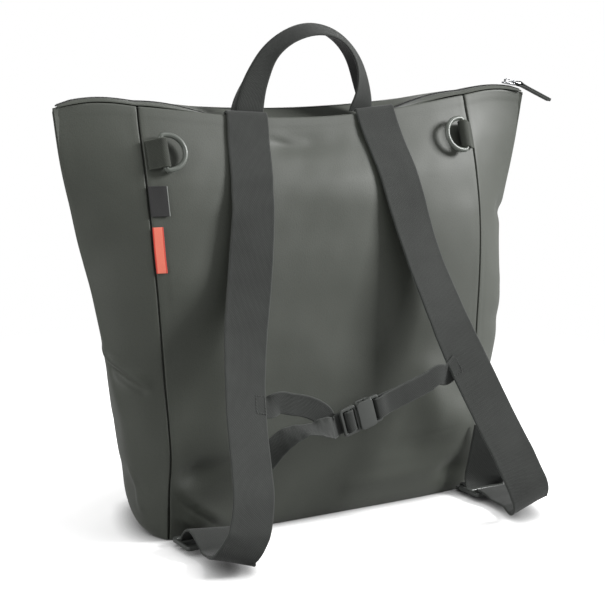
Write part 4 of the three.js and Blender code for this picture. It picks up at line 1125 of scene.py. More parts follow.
def build_base(settings):
    """The base lies on the floor inside the foot of the walls."""
    across = [-1 + 2 * i / 60 for i in range(61)][1:-1]
    sides = [i / 24 for i in range(24)]
    inside = CLOTH + 2 * GAP

    def foot(panel, at, side=1):
        point = skin(panel, at, 0, side)
        step = normal(panel, at, 0, side)
        step.z = 0
        return point - step.normalized() * inside

    ring = [foot("back", s) for s in across] + [foot("gusset", s, 1) for s in sides[1:]]
    ring += [foot("front", -s) for s in across] + [foot("gusset", s, -1) for s in reversed(sides[1:])]
    middle = sum(ring, V(0, 0, 0)) / len(ring)
    profile = (
        (0.001, CLOTH), (0.5, CLOTH), (0.97, CLOTH), (0.995, 1.6), (1, 1),
        (0.995, 0.4), (0.97, FLOOR_CLEAR), (0.5, FLOOR_CLEAR), (0.001, FLOOR_CLEAR),
    )
    rows = [[V(mix(middle.x, p.x, share), mix(middle.y, p.y, share), z) for p in ring] for share, z in profile]
    count = len(ring)
    points = [p for row in rows for p in row]
    faces = []
    for j in range(len(rows) - 1):
        for i in range(count):
            k = (i + 1) % count
            faces.append((j * count + i, j * count + k, (j + 1) * count + k, (j + 1) * count + i))
    faces.append(tuple(range(count)))
    faces.append(tuple(reversed(range((len(rows) - 1) * count, len(rows) * count))))
    mesh = mesh_from("bag_base", points, faces)
    outwards(mesh)
    obj = finish_mesh("bag_base", mesh, cloth_of(settings))
    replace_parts(obj, "base_panel")


def build_pocket(settings):
    """The front pocket, a bellows sheet on the front panel, open along its top edge."""
    wide = POCKET_EDGE * PANEL_HALF * 1.9
    stations = (steps_between(0, wide, FAR_STEP) / wide * 2 - 1) * POCKET_EDGE
    tall = (POCKET_RISE - POCKET_FOOT) * BODY_HEIGHT
    climbs = steps_between(0, tall, FAR_STEP) / tall
    outer, inner = [], []
    for climb in climbs:
        up = POCKET_FOOT + climb * (POCKET_RISE - POCKET_FOOT)
        height = mix(POCKET_BULGE, POCKET_MOUTH, climb**2) * (1 - (1 - climb) ** 6)
        far, near = [], []
        for across in stations:
            point, way = skin("front", across, up), normal("front", across, up)
            aside = abs(across / POCKET_EDGE)
            lift = height * (1 - aside**8)
            x, z = across * PANEL_HALF, up * BODY_HEIGHT
            ends = min(1 - aside, climb, 1 - climb)
            fold = float(relief("pocket", x, z, settings.wrinkle)) * min(1, ends * 8) * min(1, lift / 6)
            hem = 0.4 if (1 - climb) * tall < HEM_DEPTH else 0
            rim = min((1 - aside) * wide / 2, climb * tall, (1 - climb) * tall)
            roll = 0.9 * max(0, 1 - rim / 1.6) ** 2
            far.append((point + way * (lift + max(fold, -4) + CLOTH + POCKET_AIR + hem - roll))[:])
            near.append((point + way * (lift + max(fold, -4) + POCKET_AIR))[:])
        outer.append(far)
        inner.append(near)
    mesh = sheet_mesh("bag_pocket", outer, inner)
    obj = finish_mesh("bag_pocket", mesh, cloth_of(settings), smooth_angle=60)
    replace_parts(obj, "front_pocket")


def corner_drop(distance):
    """How far the mouth's edge is rounded down at a distance from the corner of a wing."""
    inside = max(0, 1 - distance / CORNER_ROUND)
    return CORNER_ROUND * 0.8 * (1 - math.sqrt(max(0, 1 - inside**2)))


def build_closure(settings):
    """Facings along the mouth with a coil zip between them."""
    long = CLOSURE_HALF - 6
    xs = np.concatenate([
        np.linspace(-CLOSURE_HALF, -long, 12)[:-1],
        np.linspace(-long, long, 310),
        np.linspace(long, CLOSURE_HALF, 12)[1:],
    ])
    rows = [closure(x) for x in xs]
    for x, row in zip(xs, rows):
        drop = corner_drop(WING_HALF - abs(x))
        row.update({key: (row[key][0], row[key][1] - drop) for key in ("back", "front", "zip")})
    wobble = waves(5, 8, 60)
    dull = coated_cloth("Facing Cloth", tuple(settings.cloth), 0.78)

    def facing(name, ends, node):
        outer, inner = [], []
        for x, row in zip(xs, rows):
            (y0, z0), (y1, z1) = ends(row)
            far, near = [], []
            for k in range(9):
                t = k / 8
                y, z = mix(y0, y1, t), mix(z0, z1, t)
                swell = math.sin(math.pi * t) * min(1, abs(y1 - y0) / 10) * (0.5 * float(wobble(x, y)) - 0.3)
                rim = 0.45 if k in (0, 8) else 0
                far.append((x, y, z + swell - rim * 0.5))
                near.append((x, y, z + swell - FACING_THICK + rim * 0.5))
            outer.append(far)
            inner.append(near)
        obj = finish_mesh(name, sheet_mesh(name, outer, inner), dull, smooth_angle=60)
        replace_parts(obj, node)

    facing("facing_back", lambda c: (c["back"], (c["zip"][0] - c["half"] - GAP, c["zip"][1])), "zip_facing_back")
    facing("facing_front", lambda c: ((c["zip"][0] + c["half"] + GAP, c["zip"][1]), c["front"]), "zip_facing_front")
    tape = coated_cloth("Zip Tape", (0.022, 0.024, 0.022), 0.75, 1600.0)
    outer = []
    for x, c in zip(xs, rows):
        y, z = c["zip"]
        outer.append([(x, y + c["half"] * k, z - (0.4 if abs(k) == 1 else 0.1)) for k in (-1, -0.5, 0, 0.5, 1)])
    inner = [[(x, y, z - FACING_THICK + 0.5) for x, y, z in row] for row in outer]
    obj = finish_mesh("zip_tape", sheet_mesh("zip_tape", outer, inner), tape, smooth_angle=60)
    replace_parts(obj, "zipper")
    coil = hard_finish("Coil", (0.02, 0.021, 0.02), 0.0, 0.38)
    for name, side in (("zip_coil_back", -1), ("zip_coil_front", 1)):
        line = [(x, c["zip"][0] + side * c["half"] * 0.22, c["zip"][1] + 0.42) for x, c in zip(xs, rows)]
        obj = stitches(name, [line[1:-1]], coil, pitch=1.25, length=0.85, radius=0.62, height=0.5)


# ---- Webbing ----
# Where the chest strap is sewn on at the right, nearer to and further from the bag's middle
RIGHT_NEAR, RIGHT_MIDDLE, RIGHT_FAR = 138, 141, 143
# Down a shoulder strap from the wall: its height, place across and reach behind the bag as shares of
# the body's height, the panel's half width and the strap's reach, its turn and tip, and how much of
# the swing to the right it has there
STRAP_WAY = table(
    "up wide reach turn tip swing",
    [
        (0.767, 0.466, 0.082, 0, 0, 0),
        (0.712, 0.489, 0.128, 0.06, 0, 0),
        (0.66, 0.514, 0.172, 0.11, 0, 0),
        (0.604, 0.544, 0.224, 0.1, 0, 0),
        (0.55, 0.578, 0.283, 0.06, 0, 0),
        (0.496, 0.612, 0.345, 0, 0, 0),
        (0.442, 0.643, 0.418, -0.1, 0, 0),
        (0.388, 0.674, 0.502, -0.18, 0, 0),
        (0.334, 0.704, 0.598, -0.2, 0, 0),
        (0.28, 0.731, 0.703, -0.21, 0, 0),
        (0.226, 0.756, 0.815, -0.22, 0, 0),
        (0.173, 0.786, 0.922, -0.18, 0, 0),
        (0.135, 0.812, 0.972, -0.12, 0.05, 0),
        (0.1, 0.842, 1.0, -0.06, 0.12, 0),
        (0.073, 0.872, 0.99, 0, 0.2, 0),
        (0.053, 0.893, 0.962, 0, 0.3, -0.05),
        (0.04, 0.903, 0.915, 0, 0.35, 0),
        (0.035, 0.905, 0.85, 0, 0.34, 0.25),
        (0.033, 0.903, 0.73, 0, 0.27, 0.7),
        (0.024, 0.9, 0.54, 0, 0.13, 1),
    ],
)
LEFT_END = table(
    "up wide reach turn tip swing",
    [(0.034, 0.905, 0.85, 0, 0.24, 0.25), (0.027, 0.903, 0.73, 0, 0.09, 0.7), (0.025, 0.9, 0.54, 0, 0, 1)],
)


def shoulder_path(side):
    """Over the mouth, down the wall and back to the adjuster."""
    path = []
    x = STRAP_TOP
    edge = mouth(x)[0]
    tilt = mouth(x + 10)[0] - mouth(x - 10)[0]
    hint = V(side * tilt.x, tilt.y, tilt.z).normalized()
    wall = edge.y + CLOTH / 2
    turn = (CLOTH + WEB_THICK) / 2 + 2 * GAP
    top = edge.z + 2 * GAP
    for degrees in (0, 45, 90, 135, 180):
        a = math.radians(degrees)
        path.append((V(side * x, wall + turn * math.cos(a), top + turn * math.sin(a)), hint))
    for up in (0.93, 0.9, 0.87, 0.84, 0.81):
        out = mix(STRAP_TOP, STRAP_WAY[0]["wide"] * PANEL_HALF, (1 - up) / (1 - STRAP_WAY[0]["up"]))
        across = side * out / section(up)["seam"].x
        lift = WEB_THICK / 2 + 4 * GAP + 2 * (1 - smooth(0.8, 0.93, up))
        path.append((skin("back", across, up) + normal("back", across, up) * lift, V(side, 0, 0)))
    for row in STRAP_WAY[:-3] + (LEFT_END if side < 0 else STRAP_WAY[-3:]):
        point = V(
            side * row["wide"] * PANEL_HALF + row["swing"] * STRAP_SWING,
            -HALF_DEPTH - row["reach"] * STRAP_REACH,
            row["up"] * BODY_HEIGHT,
        )
        path.append((point, V(side, row["turn"], row["tip"])))
    return path


def adjuster_place(side):
    """The middle of an adjuster."""
    return V(side * ADJUSTER_SPREAD + STRAP_SWING, -HALF_DEPTH - ADJUSTER_REACH, ADJUSTER_LEVEL)


def woven(side):
    """A strap's end: the right one is woven through its adjuster and has a tail, the left one lies over."""
    middle = adjuster_place(side)
    pitch = (ADJUSTER_LENGTH - ADJUSTER_BAR) / 2
    rise = (ADJUSTER_THICK + WEB_THICK) / 2 + 1.6 * GAP
    rows = (
        (-pitch - 5, -1), (-pitch + 2.2, -1), (-pitch + 4.4, -0.75), (-4.4, 0.75),
        (-2.2, 1), (2.2, 1), (4.2, 0.8), (6 if side < 0 else 5.4, 0.1),
    )
    path = [(V(middle.x, middle.y + y, middle.z - side * z * rise), V(side, 0, 0)) for y, z in rows]
    if side < 0:
        over = ((-27.5, 6.4), (-18, 11), (-10, 12.8), (-4, 10.6), (1.5, 6), (4.6, 1.4), (5.6, -2), (5.8, -4.4))
        return [(V(middle.x, middle.y + y, middle.z + z), V(side, 0, 0.1)) for y, z in over]
    for share in (0, 0.07, 0.15, 0.3, 0.5, 0.75, 1):
        lean = math.radians(TAIL_LEAN) * min(1, 3 * share)
        yaw = math.radians(TAIL_YAW) * min(1, 0.4 + 6 * share)
        over = V(math.sin(lean), 0, math.cos(lean)) * (share * TAIL_LENGTH)
        at = V(middle.x, middle.y + 5.4 - 4 * share, middle.z + rise) + over
        path.append((at, V(math.cos(lean), -math.sin(yaw), -math.sin(lean))))
    return path


def build_straps(settings):
    """The two shoulder straps, from the mouth down to their adjusters."""
    for name, side in (("left", -1), ("right", 1)):
        path = shoulder_path(side) + woven(side)
        soft = waves(40 + side, 6, 55)
        wave = lambda run, x, soft=soft: (
            0.35 * float(soft(run, x)) * smooth(150, 200, run) * smooth(20, 60, 560 - run)
        )
        mesh = webbing("strap_" + name, path, WEB_WIDTH, WEB_THICK, 2.2, wave=wave, points=17)
        obj = finish_mesh("strap_" + name, mesh, web_of(settings), smooth_angle=70)
        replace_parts(obj, "shoulder_strap_" + name)


def build_adjusters(settings):
    """Three-bar adjusters and the short loops that tie them to the bag's bottom corners."""
    plastic = plastic_of(settings)
    half = (WEB_WIDTH + 2 * GAP) / 2
    pitch = (ADJUSTER_LENGTH - ADJUSTER_BAR) / 2
    slot = pitch - ADJUSTER_BAR
    for name, side in (("left", -1), ("right", 1)):
        place = adjuster_place(side)
        outlines = [rounded(ADJUSTER_WIDTH, ADJUSTER_LENGTH, 3)]
        outlines += [rounded(2 * half, slot, 0.8, 3, 0, middle) for middle in (-pitch / 2, pitch / 2)]
        mesh = moulded_mesh("adjuster_frame_" + name, outlines, ADJUSTER_THICK, 0.9, Matrix.Translation(place))
        obj = finish_mesh("adjuster_frame_" + name, mesh, plastic, smooth_angle=50)
        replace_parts(obj, "adjuster_" + name)

        inset = (2 * half - ADJUSTER_LOOP) / 2 - GAP
        x = place.x - side * min(inset, max(0, side * place.x - CORNER_LOOP))
        inner = (abs(x) - ADJUSTER_LOOP / 2) / section(0)["seam"].x
        bar = place.y + pitch
        near = ADJUSTER_BAR / 2
        high = ADJUSTER_THICK / 2 + GAP + LOOP_THICK / 2
        seat = skin("back", inner, 0.015).y - bar - 4 * GAP
        rows = (
            (seat, -high - 1), (near, -high - 0.4), (-near - 0.4, -high - 0.2), (-near - 1.6, -high + 0.9),
            (-near - 1.6, high - 0.9), (-near - 0.4, high + 0.2), (near + 0.4, high + 0.2), (near + 1.6, high - 0.9),
            (near + 2, 0), (near + 2.8, -high + 1.2), (seat, -high + LOOP_THICK - 0.5),
        )
        path = [(V(x, bar + y, place.z + z), V(side, 0, 0)) for y, z in rows]
        mesh = webbing("adjuster_web_" + name, path, ADJUSTER_LOOP, LOOP_THICK - 0.3, 0.9)
        obj = finish_mesh("adjuster_web_" + name, mesh, web_of(settings, ADJUSTER_LOOP), smooth_angle=70)
        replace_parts(obj, "adjuster_loop_" + name)


# Along the handle: its place across and its rise as shares, the near ply's share of the width, and how
# far each ply is folded away from the ridge, in degrees
HANDLE_WAY = table(
    "way wide rise near nearTurn farTurn",
    [
        (0, -1, 0, 0.72, 0, 85),
        (0.08, -0.98, 0.13, 0.71, 0, 80),
        (0.2, -0.88, 0.4, 0.6, 5, 62),
        (0.27, -0.78, 0.56, 0.53, 8, 58),
        (0.345, -0.65, 0.735, 0.42, 20, 55),
        (0.42, -0.43, 0.9, 0.385, 38, 60),
        (0.48, -0.215, 0.99, 0.43, 50, 66),
        (0.535, -0.02, 1.03, 0.48, 56, 72),
        (0.6, 0.215, 1.0, 0.49, 62, 78),
        (0.67, 0.45, 0.905, 0.49, 62, 82),
        (0.72, 0.605, 0.782, 0.49, 56, 83),
        (0.77, 0.74, 0.63, 0.49, 48, 80),
        (0.83, 0.825, 0.455, 0.51, 36, 72),
        (0.89, 0.885, 0.28, 0.55, 22, 64),
        (0.95, 0.92, 0.105, 0.61, 4, 62),
        (1, 0.915, 0, 0.63, 0, 66),
    ],
)


def build_handle(settings):
    """The carry handle, webbing folded lengthwise along a ridge."""
    way_at = curves(HANDLE_WAY, "way")
    steps = HANDLE_STEPS
    leg = mouth(HANDLE_HALF)[0]
    plane = leg.y + CLOTH + WEB_THICK + 5 * GAP + HANDLE_THICK / 2
    foot = leg.z - GAP
    top = BODY_HEIGHT + HANDLE_RISE - HANDLE_THICK / 2
    rows = [way_at(i / steps) for i in range(steps + 1)]
    ridge = [V(row["wide"] * HANDLE_HALF, plane, mix(foot, top, row["rise"])) for row in rows]
    runs = [0]
    for i in range(1, steps + 1):
        runs.append(runs[-1] + (ridge[i] - ridge[i - 1]).length)
    shares = [1, 0.985, 0.95, 0.88, 0.76, 0.62, 0.48, 0.34, 0.22, 0.12]
    layers = {1: [], -1: []}
    uv = []
    for i, row in enumerate(rows):
        along = ridge[min(i + 1, steps)] - ridge[max(i - 1, 0)]
        if i in (0, steps):
            along.x = 0
        inside = V(0, 1, 0).cross(along.normalized())
        wings = []
        for turn, towards, reach in (
            (row["nearTurn"], -1, row["near"] * HANDLE_WIDTH),
            (row["farTurn"], 1, (1 - row["near"]) * HANDLE_WIDTH),
        ):
            a = math.radians(turn)
            way = inside * math.cos(a) + V(0, towards * math.sin(a), 0)
            out = inside * -math.sin(a) + V(0, towards * math.cos(a), 0)
            wings.append((way, out, reach))
        crest = wings[0][1] + wings[1][1]
        slant = max(0.35, crest.length / 2)
        for face in (1, -1):
            offset = face * HANDLE_THICK / 2

            def point(wing, share):
                way, out, reach = wing
                left = (1 - share) * reach
                half = offset * math.sqrt(max(0.04, 1 - max(0, 1 - left / 0.9) ** 2))
                bead = 0.16 * face * math.exp(-(((left - 1.4) / 0.8) ** 2))
                return ridge[i] + way * (share * reach) + out * (half + bead)

            near = [point(wings[0], s) for s in shares]
            far = [point(wings[1], s) for s in reversed(shares)]
            peak = ridge[i] + crest.normalized() * (offset / slant)
            bend = [near[-1] * (1 - t) ** 2 + peak * (2 * t * (1 - t)) + far[0] * t * t for t in (0.2, 0.4, 0.6, 0.8)]
            layers[face].append(near + bend + far)
        ply = WEB_WIDTH / 2
        across = [-ply * s for s in shares] + [-1.2, -0.4, 0.4, 1.2] + [ply * s for s in reversed(shares)]
        uv += [(a, runs[i]) for a in across]
    for face in (1, -1):
        grid = np.array([[p[:] for p in row] for row in layers[face]])
        for _ in range(HANDLE_PASSES):
            grid[1:-1] = grid[1:-1] * 0.5 + (grid[:-2] + grid[2:]) * 0.25
        layers[face] = grid.tolist()
    mesh = sheet_mesh("handle", layers[1], layers[-1], uv)
    lining = [v.index >= len(uv) for v in mesh.vertices]
    for loop, place in zip(mesh.loops, mesh.uv_layers["Cloth"].data):
        if lining[loop.vertex_index]:
            place.uv.x += LINING_AWAY
    material = web_cloth("Webbing Lined", tuple(settings.webbing), lined=True)
    obj = finish_mesh("handle", mesh, material, smooth_angle=75)
    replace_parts(obj, "carry_handle")


# ---- Rings, labels, slider and buckle ----
def aligned(origin, x, y):
    """A frame whose X and Y lie along the given directions."""
    z = x.cross(y)
    return Matrix((
        (x.x, y.x, z.x, origin.x),
        (x.y, y.y, z.y, origin.y),
        (x.z, y.z, z.z, origin.z),
        (0, 0, 0, 1),
    ))


def turned(parent, x, degrees, z=0):
    """A frame further along another's X, and turned about its Y."""
    return parent @ Matrix.Translation(V(x, 0, z)) @ Matrix.Rotation(math.radians(degrees), 4, "Y")


def closed_smooth(points, per):
    """A smooth closed line through points."""
    made = []
    count = len(points)
    for i in range(count):
        p0, p1, p2, p3 = (points[(i + k) % count] for k in (-1, 0, 1, 2))
        square = p0 * 2 - p1 * 5 + p2 * 4 - p3
        cube = p1 * 3 - p0 - p2 * 3 + p3
        for k in range(per):
            t = k / per
            made.append((p1 * 2 + (p2 - p0) * t + square * t**2 + cube * t**3) / 2)
    return made


# Each ring's height, how far its loop is lifted off the wall, and how far the ring hangs down from that
RINGS = table("side up lift fall", [(-1, 0.893, 22, 20), (1, 0.901, 31, 27)])


def build_rings(settings):
    """Lacquered D-rings in loops of webbing sewn into the side seams."""
    lacquer = hard_finish("Lacquered Metal", tuple(settings.lacquer), 0.0, 0.42, 500, 0.06, 0.15)
    eye = RING_WIRE / 2 + WIRE_PLAY
    straight = RING_HALF - 3
    outline = [V(0, straight, 0), V(0, straight / 3, 0), V(0, -straight / 3, 0), V(0, -straight, 0)]
    outline += [V(0.9, -RING_HALF + 0.9, 0), V(3.2, -RING_HALF, 0)]
    for degrees in range(-75, 76, 15):
        a = math.radians(degrees)
        outline.append(V(4 + (RING_DEPTH - 4) * math.cos(a), RING_HALF * math.sin(a), 0))
    outline += [V(3.2, RING_HALF, 0), V(0.9, RING_HALF - 0.9, 0)]
    line = closed_smooth(outline, 8)
    for row in RINGS:
        side = row["side"]
        name = "left" if side < 0 else "right"
        lean = math.radians(RING_LEAN)
        along = V(0, math.sin(lean), math.cos(lean)) * -side
        away = V(0, -math.cos(lean), math.sin(lean))
        root = skin("back", side * 0.985, row["up"]) + away * (LOOP_THICK + GAP)
        seat = turned(aligned(root, V(-side, 0, 0), along), 0, -row["lift"])
        band = eye + LOOP_THICK / 2
        ply = LOOP_THICK / 2 + 0.06
        flat = [(0, ply), (3, ply + 0.1), (7.5, ply + 0.9)]
        turns = [math.radians(degrees) for degrees in range(100, -101, -20)]
        arc = [(LOOP_LENGTH + band * math.cos(a), band * math.sin(a)) for a in turns]
        path = flat + arc + [(x, -z) for x, z in reversed(flat)]
        way = [(seat @ V(x, 0, z), seat.to_3x3() @ V(0, 1, 0)) for x, z in path]
        mesh = webbing("ring_web_" + name, way, LOOP_WIDTH, LOOP_THICK - 0.1, 1.0)
        obj = finish_mesh("ring_web_" + name, mesh, web_of(settings, LOOP_WIDTH), smooth_angle=70)
        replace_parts(obj, "ring_loop_" + name)
        hinge = turned(seat, LOOP_LENGTH, row["fall"])
        if side < 0:
            hinge = hinge @ Matrix.Rotation(math.radians(RING_SLEW), 4, "Z")
        points = [hinge @ p for p in line]
        mesh = tube_mesh("ring_" + name, points, RING_WIRE / 2, 16)
        obj = finish_mesh("ring_" + name, mesh, lacquer, "ring_" + name)
        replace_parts(obj, "d_ring_" + name)


def build_labels(settings):
    """Two bare woven labels with one edge in the left side seam."""
    dark = woven_label("Dark Label", tuple(settings.dark_label), (0.16, 0.17, 0.16), 16, 0.9, False)
    coral = woven_label("Coral Label", tuple(settings.coral_label), (0.5, 0.035, 0.02), 9, 1.3, True)
    for name, (wide, tall, level), material, slot, node in (
        ("tag_dark", DARK_LABEL, dark, "dark_label", "label_dark"),
        ("tag_coral", CORAL_LABEL, coral, "coral_label", "label_coral"),
    ):
        places = steps_between(0, wide, 1.0, LABEL_EDGE)
        heights = steps_between(0, tall, 1.0, LABEL_EDGE)
        outer, inner, uv = [], [], []
        soft = waves(len(name), 5, 18)
        for h in heights:
            up = (level - tall / 2 + h) / BODY_HEIGHT
            far, near = [], []
            for place in places:
                across = -0.997 + place / PANEL_HALF
                point, way = skin("back", across, up), normal("back", across, up)
                x = across * PANEL_HALF
                base = float(relief("back", x, up * BODY_HEIGHT, settings.wrinkle)) * min(1, max(0.15, place / 12))
                base = min(base, CALM_RELIEF) if up * BODY_HEIGHT > CALM_FROM + CALM_OVER else base
                rim = min(place, wide - place, h, tall - h)
                lift = 0.75 + max(0, base) + 0.3 * (place / wide) ** 2 + 0.12 * float(soft(place, h))
                full = LABEL_THICK * math.sqrt(max(0.05, 1 - max(0, 1 - rim / 0.35) ** 2))
                centre = lift + LABEL_THICK / 2
                far.append((point + way * (centre + full / 2))[:])
                near.append((point + way * (centre - full / 2))[:])
                uv.append((place, h))
            outer.append(far)
            inner.append(near)
        obj = finish_mesh(name, sheet_mesh(name, outer, inner, uv), material, smooth_angle=60)
        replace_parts(obj, node)


def build_slider(settings):
    """The zip's slider with a wire link and a doubled webbing tab."""
    silver = hard_finish("Silver Metal", tuple(settings.silver), 1.0, 0.2, 900, 0.04)
    under = lambda share: closure(SLIDER_PLACE + share * SLIDER_LENGTH)["zip"][1]
    seat = max(under(0), (under(-0.5) + under(0.5)) / 2) + COIL_RISE + 1.3 * GAP
    slope = math.degrees(math.atan((under(-0.5) - under(0.5)) / SLIDER_LENGTH))
    place = V(SLIDER_PLACE, closure(SLIDER_PLACE)["zip"][0], seat + SLIDER_PLATE)
    carriage = Matrix.Translation(place) @ Matrix.Rotation(math.radians(slope), 4, "Y")
    low = moulded_mesh(
        "slider_plate", [rounded(SLIDER_LENGTH, SLIDER_WIDTH, 2.4)], SLIDER_PLATE, 0.45,
        carriage @ Matrix.Translation(V(0, 0, -SLIDER_PLATE / 2)),
    )
    upright = carriage @ Matrix.Rotation(math.radians(90), 4, "X")
    arch = rounded(11.2, BRIDGE_RISE + 0.5, 1.9, 5, 0, (BRIDGE_RISE - 0.5) / 2)
    hole = rounded(8.8, BRIDGE_RISE - 1.1, 0.6, 3, 0, (BRIDGE_RISE - 0.9) / 2)
    bridge = moulded_mesh("slider_bridge", [arch, hole], 2.2, 0.35, upright)
    obj = finish_mesh("slider", joined("slider", [low, bridge]), silver, smooth_angle=45)
    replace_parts(obj, "zip_slider")
    hinge = turned(carriage, 3.2, LINK_DROOP - slope, 1.3)
    half = TAB_WIDTH / 2 + LINK_WIRE / 2 + 0.5
    corners = rounded(LINK_LENGTH, 2 * half, 1.2, 4, LINK_LENGTH / 2, 0)
    mesh = tube_mesh("link", [hinge @ V(x, y, 0) for x, y in corners], LINK_WIRE / 2, 12)
    obj = finish_mesh("link", mesh, silver, "zip_pull")
    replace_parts(obj, "zip_link")
    end = turned(hinge, LINK_LENGTH, TAB_DROOP - LINK_DROOP)
    half = TAB_PLY / 2
    band = LINK_WIRE / 2 + 1.3 * GAP + half
    top = [(TAB_LENGTH - 0.4, half + 0.05), (TAB_LENGTH * 0.6, half + 0.12), (9, half + 0.12), (4.5, half + 0.3)]
    turns = [math.radians(degrees) for degrees in range(100, 261, 20)]
    arc = [(band * math.cos(a), band * math.sin(a)) for a in turns]
    path = top + arc + [(x, -z) for x, z in reversed(top)]
    way = [(end @ V(x, 0, z), end.to_3x3() @ V(0, 1, 0)) for x, z in path]
    mesh = webbing("pull_tab", way, TAB_WIDTH, TAB_PLY, 1.0)
    material = web_cloth("Webbing Tab", tuple(settings.webbing), TAB_WIDTH / 2, 0.9, 1.2)
    obj = finish_mesh("pull_tab", mesh, material, "zip_pull", 70)
    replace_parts(obj, "zip_tab")
    line = [(end @ V(6.5, y, TAB_PLY + 0.2))[:] for y in (-2.6, 2.6)]
    tip = [(end @ V(TAB_LENGTH - 3, y, TAB_PLY + 0.1))[:] for y in (-2.6, 2.6)]
    obj = stitches("tab_stitches", [line, tip], thread_of(settings), 1.3, 1.0, 0.2, body="zip_pull")


def buckle_frame():
    """The buckle's middle, its length and its width."""
    a = math.radians(BUCKLE_TILT)
    middle = V(BUCKLE_ASIDE, -HALF_DEPTH - CHEST_REACH, BUCKLE_LEVEL)
    return aligned(middle, V(math.cos(a), 0, math.sin(a)), V(-math.sin(a), 0, math.cos(a)))


def build_buckle(settings):
    """The chest strap's side-release buckle, closed."""
    plastic = plastic_of(settings)
    middle = buckle_frame()
    end = BUCKLE_LENGTH / 2
    slot = CHEST_WIDTH + 3 * GAP
    cavity = BUCKLE_WIDTH - 8.2
    frame_plate = moulded_mesh(
        "male_frame",
        [
            rounded(16, BUCKLE_WIDTH, 2.5, 5, -end + 8, 0),
            rounded(4.6, slot, 0.7, 3, -end + 4.9, 0),
            rounded(4, slot, 0.7, 3, -end + 12.2, 0),
        ],
        BUCKLE_FRAME, 0.8, middle,
    )
    outline = rounded(13, cavity - 3 * GAP, 1.5, 4, 1.5, 0)
    tongue = moulded_mesh("male_tongue", [outline], PRONG_THICK, 0.5, middle)
    outline = rounded(5.2, BUCKLE_WIDTH - 1.2, 1.6, 4, 3, 0)
    wings = moulded_mesh("male_wings", [outline], PRONG_THICK, 0.6, middle)
    mesh = joined("buckle_prongs", [frame_plate, tongue, wings])
    obj = finish_mesh("buckle_prongs", mesh, plastic, smooth_angle=50)
    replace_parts(obj, "buckle_male")
    skin_thick = (BUCKLE_THICK - PRONG_THICK - 3 * GAP) / 2
    level = BUCKLE_THICK / 2 - skin_thick / 2
    shells = []
    for z in (-level, level):
        place = middle @ Matrix.Translation(V(0, 0, z))
        shells.append(moulded_mesh("shell", [rounded(end - 4, BUCKLE_WIDTH, 3, 6, 4.4, 0)], skin_thick, 0.6, place))
    core = PRONG_THICK + 3 * GAP + 1
    strip = (BUCKLE_WIDTH - cavity) / 2
    for y in (-1, 1):
        for x0, x1 in ((-3.4, -0.2), (6.2, 12.2)):
            outline = rounded(x1 - x0, strip - 0.3, 0.8, 3, (x0 + x1) / 2, y * (cavity / 2 + strip / 2 - 0.1))
            shells.append(moulded_mesh("wall", [outline], core, 0.3, middle))
    shells.append(moulded_mesh("wall", [rounded(3.2, cavity + 2, 0.4, 2, 10.6, 0)], core, 0.3, middle))
    tail = [rounded(12, BUCKLE_WIDTH, 2.5, 5, end - 6, 0), rounded(4.4, slot, 0.7, 3, end - 5.2, 0)]
    shells.append(moulded_mesh("tail", tail, BUCKLE_FRAME, 0.8, middle))
    obj = finish_mesh("buckle_shell", joined("buckle_shell", shells), plastic, smooth_angle=50)
    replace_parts(obj, "buckle_female")


def row_below(made, height):
    """The first row of a shoulder strap's free run that lies below a height."""
    return next(k for k, row in enumerate(made) if k > PAST_MOUTH and row[0].z < height)


def sewn_on(side, inset, height=CHEST_HEIGHT):
    """Where the chest strap is sewn to the back of a shoulder strap."""
    made = frames(shoulder_path(side))
    i = row_below(made, height)
    share = (made[i - 1][0].z - height) / (made[i - 1][0].z - made[i][0].z)
    at = made[i - 1][0].lerp(made[i][0], share)
    _, along, across, out = made[i]
    back = -out if out.y < 0 else out.copy()
    across = -across if across.x * side < 0 else across
    lift = (WEB_THICK + CHEST_THICK) / 2 + 2.5 * GAP
    return at + across * (inset - WEB_WIDTH / 2) + back * lift, -along


